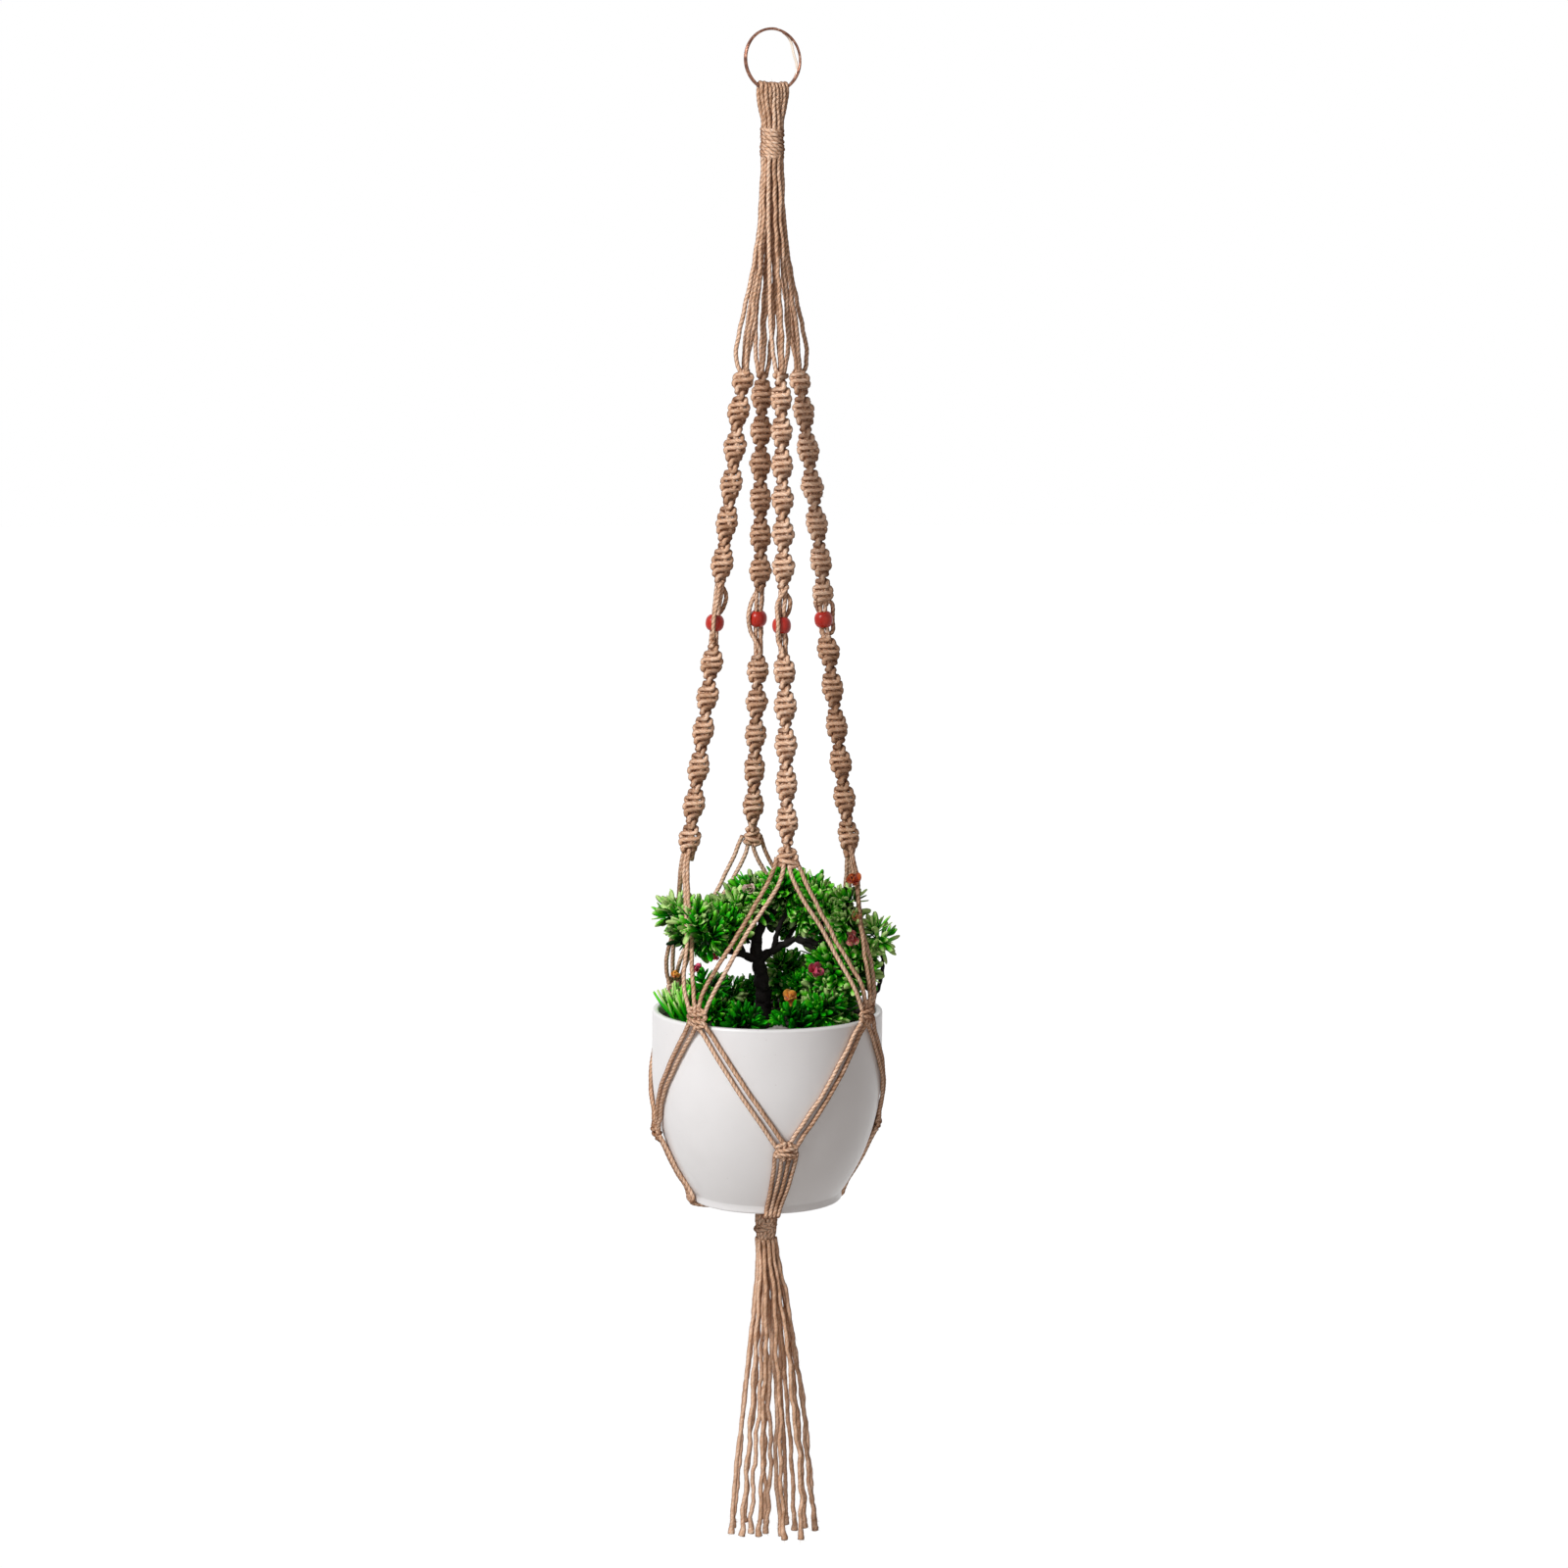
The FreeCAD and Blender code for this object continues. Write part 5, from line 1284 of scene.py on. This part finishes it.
# Sprigs cover a cushion: each has leaves in a spiral round its axis, closer to it near its tip. Leaves that
# would touch the net, leave the planter's outline or pierce the pot are left out.
def leafCushion(spots, perClump, leavesEach, leaf, rng):
    roots, ways, deep, tints = sprigPlaces(spots, perClump, leaf, rng)
    sprigs = len(roots)
    side = unit(np.cross(ways, rng.normal(size=(sprigs, 3))))
    other = np.cross(ways, side)
    number = np.arange(leavesEach)
    angle = sprig["spiral"] * number[None] + rng.uniform(0, 6, (sprigs, 1))
    angle = angle + rng.normal(0, 0.2, (sprigs, leavesEach))
    spread = number / (leavesEach - 1)
    narrow, wide = sprig["opening"]
    opening = np.radians(narrow + wide * spread[None] + rng.normal(0, 7, (sprigs, leavesEach)))[..., None]
    radial = np.cos(angle)[..., None] * side[:, None] + np.sin(angle)[..., None] * other[:, None]
    along = np.cos(opening) * ways[:, None] + np.sin(opening) * radial
    stem = sprig["stem"][0] - sprig["stem"][1] * spread
    base = roots[:, None] + stem[None, :, None] * ways[:, None] + radial * 0.35
    size = rng.uniform(*sprig["sizes"], (sprigs, leavesEach))
    size = size * (sprig["tipSize"] + sprig["footSize"] * np.sqrt(spread))
    base, along, size = base.reshape(-1, 3), unit(along.reshape(-1, 3)), size.reshape(-1)
    reach = along * (leaf["length"] * size)[:, None]
    tip = base + reach
    keep = np.min([netDistance(base + reach * share) for share in (0, 0.55, 1)], axis=0) > leaf["clear"]
    tipRadius = np.linalg.norm(tip[:, :2], axis=1)
    keep &= tipRadius < leaf["reach"]
    inPot = base[:, 2] < pot["rim"] + potRoom["low"]
    keep &= ~inPot | (tipRadius < potRoom["radius"]) | (tip[:, 2] > pot["rim"] + potRoom["above"])
    keep &= base[:, 2] > pot["soil"] - potRoom["below"]
    matrices = leafFrames(along, np.repeat(ways, leavesEach, axis=0)) * (size * mm)[:, None, None]
    # painted shade, strongest for leaves deep in a cushion and a little at random for the rest
    shade = np.clip(np.repeat(deep * 0.75, leavesEach) + rng.normal(0.1, 0.12, len(base)), 0, 1)
    tint = np.clip(np.repeat(tints, leavesEach) + rng.normal(0, 0.12, len(base)), 0, 1)
    part = leafShape(leaf["length"], leaf["width"])
    return copies(part, matrices[keep], base[keep] * mm, tint=tint[keep], shade=shade[keep]), roots, ways


# Leaf: from dark to young green with the leaf's own tint, its tip and a cloud; painted shade darkens it,
# most deep in a cushion.
def leafMaterial():
    material, tree, shader = newMaterial("leaf", {"Roughness": 0.45, "Specular IOR Level": 0.12})
    tip, tint = attribute(tree, "tip").outputs["Fac"], attribute(tree, "tint").outputs["Fac"]
    place = ownPlace(tree)
    young = sums(tree, "MULTIPLY_ADD", tint, 0.62)
    tree.links.new(sums(tree, "MULTIPLY", tip, 0.5), young.node.inputs[2])
    young = sums(tree, "ADD", young, sums(tree, "MULTIPLY", noise(tree, place, 160, 3), 0.25))
    body = colours(tree, young, [(0.20, (0.001, 0.060, 0.001)), (0.46, (0.002, 0.250, 0.001)),
                                 (0.70, (0.010, 0.480, 0.002)), (0.84, (0.14, 0.74, 0.02)),
                                 (0.98, (0.66, 0.94, 0.34))])
    # painted shade: leaves are darkened towards near black green by their shade value
    body = mixed(tree, attribute(tree, "shade").outputs["Fac"], body, (0.001, 0.024, 0.001))
    tree.links.new(body, shader.inputs["Base Color"])
    roughened(tree, shader, noise(tree, place, 700, 2), 0.15, 0.15 * mm)
    return material


leafLook = leafMaterial()
crownLeaf = dict(length=13.0, width=4.6, clear=3.4, reach=91, tints=(0.3, 0.85), untidy=0.16)
lowLeaf = dict(length=11.0, width=4.2, clear=3.4, reach=82, tints=(0.1, 0.6), untidy=0.35)
crown = dict(sprigs=17, lowSprigs=16, leaves=10, divide=10, twig=(0.6, 0.4), twigEnd=2.5)


def barkMaterial():
    material, tree, shader = newMaterial("bark", {"Roughness": 0.8, "Specular IOR Level": 0.2})
    grain = noise(tree, stretched(tree, ownPlace(tree), (1, 1, 0.3)), 420, 6, 0.65)
    body = colours(tree, grain, [(0.35, (0.004, 0.003, 0.003)), (0.65, (0.010, 0.007, 0.006)),
                                 (0.92, (0.042, 0.028, 0.024))])
    tree.links.new(body, shader.inputs["Base Color"])
    roughened(tree, shader, grain, 0.8, 0.7 * mm)
    return material


# Twigs are five-sided, from the middle of each clump to its sprigs.
def twigs(spots, ends, rng):
    counts = [int(crown["sprigs"] * (radius / sprig["radius"]) ** 2) for x, y, up, radius in spots]
    centres = np.repeat(seen([spot[:3] for spot in spots]), counts, axis=0)
    run = ends - centres
    ring = polar(1, np.arange(5) * 72.0, 0)
    foot, tip = crown["twig"]
    twig = gridPart(np.stack([ring * foot, ring * tip + [0, 0, 1]]))
    frames = leafFrames(unit(run), rng.normal(size=run.shape))[:, :, [1, 2, 0]]
    scales = np.column_stack([np.ones((len(run), 2)), np.linalg.norm(run, axis=1)])
    return copies(twig, frames * scales[:, None] * mm, centres * mm)


def growBonsai():
    rng = np.random.default_rng(21)
    halves = {"left": [spot for spot in clumps if spot[0] < crown["divide"]],
              "right": [spot for spot in clumps if spot[0] >= crown["divide"]]}
    ends = []
    for half, spots in halves.items():
        leaves, roots, ways = leafCushion(spots, crown["sprigs"], crown["leaves"], crownLeaf, rng)
        ends.append(roots + ways * crown["twigEnd"])
        piece = putPiece(f"crown_leaves_{half}", [leaves], leafLook)
        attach(piece, "pot")
        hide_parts("foliage")
    low = leafCushion(groundClumps, crown["lowSprigs"], crown["leaves"], lowLeaf, rng)[0]
    piece = putPiece("low_leaves", [low], leafLook)
    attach(piece, "pot")
    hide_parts("ground_leaves")

    parts = [sweep(knuckles, rng) for knuckles in limbs]
    parts.append(twigs(halves["left"] + halves["right"], np.concatenate(ends), rng))
    piece = putPiece("trunk_and_twigs", parts, barkMaterial())
    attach(piece, "pot")
    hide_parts("bonsai_trunk")


growBonsai()
print("bonsai grown")


# each tuft: right and back from the middle of the rim, and how far it leans to the right
grass = dict(
    tufts=((-54, -12, -14), (-58, 6, -14), (-48, 22, -10), (-62, -3, -18)), blades=26, foot=-9.0, spread=3.2,
    untidy=15, rise=40.0, length=27, middle=16, width=5.2, clear=4, reach=86, inside=68, tint=0.62)


# Fat blades stand in tufts: long leaves with a round back.
def plantGrass():
    rng = np.random.default_rng(31)
    count = grass["blades"]
    spots, ways = [], []
    for x, y, leaning in grass["tufts"]:
        right, back = x + rng.normal(0, grass["spread"], count), y + rng.normal(0, grass["spread"], count)
        spots.append(seen(np.column_stack([right, back, np.full(count, grass["foot"])])))
        right = leaning + rng.normal(0, grass["untidy"], (count, 1))
        back = rng.normal(0, grass["untidy"], (count, 1))
        ways.append(right * plantAxes["right"] + back * plantAxes["back"] + np.array([0, 0, grass["rise"]]))
    spots, ways = np.concatenate(spots), unit(np.concatenate(ways))
    size = rng.uniform(0.6, 1.05, len(spots))
    blade = leafShape(grass["length"], grass["width"], thickness=1.3, bend=0.2, rows=10)
    tips, middles = (spots + ways * (grass[length] * size)[:, None] for length in ("length", "middle"))
    inwards = unit(tips * np.array([-1, -1, 0]))
    clear = np.minimum(netDistance(tips), netDistance(middles)) > grass["clear"]
    clear &= np.linalg.norm(tips[:, :2], axis=1) < grass["reach"]
    clear &= np.linalg.norm(spots[:, :2], axis=1) < grass["inside"]
    frames = leafFrames(ways, inwards) * (size * mm)[:, None, None]
    tint = np.clip(rng.normal(grass["tint"], 0.16, len(spots)), 0, 1)
    part = copies(blade, frames[clear], spots[clear] * mm, tint=tint[clear], shade=np.zeros(clear.sum()))
    piece = putPiece("grass_blades", [part], leafLook)
    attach(piece, "pot")
    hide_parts("grass_tuft")


plantGrass()

pink, red, orange = (0.80, 0.10, 0.22), (0.70, 0.015, 0.02), (0.90, 0.20, 0.02)
yellow, cream, rose = (0.92, 0.45, 0.05), (0.85, 0.62, 0.55), (0.85, 0.30, 0.28)
scarlet, rust, amber = (0.75, 0.12, 0.01), (0.50, 0.10, 0.02), (0.62, 0.25, 0.08)
# each flower: right, back and up from the middle of the rim, colour near its heart, colour at its edges, size
flowers = [
    (33, -25, 30, red, pink, 1.3), (16, -38, 13.5, scarlet, yellow, 1.3), (59, -20, 53, red, rose, 1.2),
    (59, -8, 91, red, orange, 1.3), (-49, -22, 31, red, pink, 0.9), (-36, -24, 40, red, pink, 0.8),
    (62, -18, 67, rust, amber, 1.0), (-12, -10, 86, cream, cream, 1.1), (-64, -8, 24, orange, yellow, 0.8),
    (-55, -14, 59, pink, cream, 0.8),
]
petals = dict(count=8, length=6.2, width=5.4, thickness=0.35, bend=0.3, opening=(20, 78), depth=1.5)


def petalMaterial():
    material, tree, shader = newMaterial("petal", {"Roughness": 0.6, "Sheen Weight": 0.2})
    cloud = noise(tree, ownPlace(tree), 300, 3)
    tone = colours(tree, cloud, [(0.3, (0.75, 0.75, 0.75)), (0.7, (1.05, 1.05, 1.05))])
    heart, edge = (attribute(tree, name).outputs["Color"] for name in ("heart", "edge"))
    body = mixed(tree, attribute(tree, "tip").outputs["Fac"], heart, edge)
    tree.links.new(mixed(tree, 1.0, body, tone, "MULTIPLY"), shader.inputs["Base Color"])
    return material


# A flower faces the front and somewhat up; its petals open in a spiral from its heart.
def bloom():
    rng = np.random.default_rng(51)
    count = petals["count"]
    petal = leafShape(petals["length"], petals["width"], thickness=petals["thickness"], bend=petals["bend"])
    parts = []
    for x, y, up, heart, edge, size in flowers:
        aside = plantAxes["right"] * rng.uniform(-0.6, 0.6)
        way = unit(plantAxes["back"] * -1 + aside + np.array([0, 0, rng.uniform(0.1, 0.9)]))
        first = unit(np.cross(way, [0.2, 0.1, 1]))
        second = np.cross(way, first)
        angle = np.arange(count)[:, None] * sprig["spiral"] + rng.uniform(0, 6)
        opening = np.radians(np.linspace(*petals["opening"], count) + rng.normal(0, 6, count))[:, None]
        radial = np.cos(angle) * first + np.sin(angle) * second
        along = unit(np.cos(opening) * way + np.sin(opening) * radial)
        middle = np.repeat(seen([(x, y, up)]) - way * petals["depth"], count, axis=0)
        frames = leafFrames(along, np.repeat(way[None], count, axis=0))
        frames = frames * (size * rng.uniform(0.7, 1.05, count) * mm)[:, None, None]
        tints = {"heart": np.tile((*heart, 1), (count, 1)), "edge": np.tile((*edge, 1), (count, 1))}
        parts.append(copies(petal, frames, middle * mm, **tints))
    piece = putPiece("flower_petals", parts, petalMaterial())
    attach(piece, "pot")
    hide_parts("flowers")


bloom()
print("flowers open")


stage = dict(
    floor=-1.45, size=60.0, colour=(0.6, 0.58, 0.56), tint=(1.0, 0.88, 0.82), ambient=0.215, glow=0.9,
    glowSpan=(1.5, 6.0), glowStrength=(1.1, 1.13), aim=(0, 0, -0.6))


# One for rays of the kinds named, nought for all others.
def raysOf(tree, *kinds):
    path = addNode(tree, "LightPath")
    rays = path.outputs[kinds[0]]
    for kind in kinds[1:]:
        rays = sums(tree, "MAXIMUM", rays, path.outputs[kind])
    return rays


# White all round for the eye, mirrors and glass; a plain level of light for everything else.
def lightWorld():
    world = bpy.data.worlds.new("studio")
    world.use_nodes = True
    tree = world.node_tree
    tree.nodes.clear()
    direct = raysOf(tree, "Is Camera Ray", "Is Glossy Ray", "Is Transmission Ray")
    plain = addNode(tree, "Background", {"Color": (*stage["tint"], 1), "Strength": stage["ambient"]})
    white = addNode(tree, "Background", {"Color": (1, 1, 1, 1), "Strength": 1.0})
    mix = addNode(tree, "MixShader", {0: direct, 1: plain.outputs[0], 2: white.outputs[0]})
    addNode(tree, "OutputWorld", {0: mix.outputs[0]})
    bpy.context.scene.world = world


lamps = {
    "key": dict(place=(-2.6, -1.7, 1.4), size=1.1, power=114, colour=(0.985, 0.99, 0.995)),
    "fill": dict(place=(0.6, -3.2, 0.1), size=2.2, power=6, colour=(1.0, 0.97, 0.94)),
    "back": dict(place=(-0.6, 2.8, 1.2), size=2.0, power=9, colour=(1.0, 1.0, 1.0)),
}


def hangLamps():
    for name, lamp in lamps.items():
        data = bpy.data.lights.new(name, "AREA")
        data.shape = "DISK"
        data.size = lamp["size"]
        data.energy = lamp["power"]
        data.color = lamp["colour"]
        body = bpy.data.objects.new(name, data)
        seat = np.array(lamp["place"])
        back = unit(seat - np.array(stage["aim"]))
        right = unit(np.cross([0, 0, 1], back))
        standAt(body, right, np.cross(back, right), back, seat)


# A pale floor well below the tassel; it shows near white and keeps the planter's soft shadow.
def layFloor():
    material, tree, shader = newMaterial("floor", {
        "Base Color": (*stage["colour"], 1), "Roughness": 0.9, "Specular IOR Level": 0.0})
    share = sums(tree, "MULTIPLY", raysOf(tree, "Is Camera Ray", "Is Glossy Ray"), stage["glow"])
    # farther off, where the lamps hardly reach, it glows a little more
    away = addNode(tree, "VectorMath", {0: ownPlace(tree)}, operation="LENGTH").outputs["Value"]
    strength = ranged(tree, away, *stage["glowSpan"], *stage["glowStrength"])
    glow = addNode(tree, "Emission", {"Color": (1, 1, 1, 1), "Strength": strength})
    mix = addNode(tree, "MixShader", {0: share, 1: shader.outputs[0], 2: glow.outputs[0]})
    output = next(node for node in tree.nodes if node.type == "OUTPUT_MATERIAL")
    tree.links.new(mix.outputs[0], output.inputs[0])
    half = stage["size"] / 2
    sheet = np.array([[[x, y, stage["floor"]] for x in (-half, half)] for y in (-half, half)])
    floor = putPiece("floor", [gridPart(sheet, wrapColumns=False, capStart=False, capEnd=False)], material)


lightWorld()
hangLamps()
layFloor()
bpy.context.scene.view_settings.view_transform = "Standard"
print("stage lit")
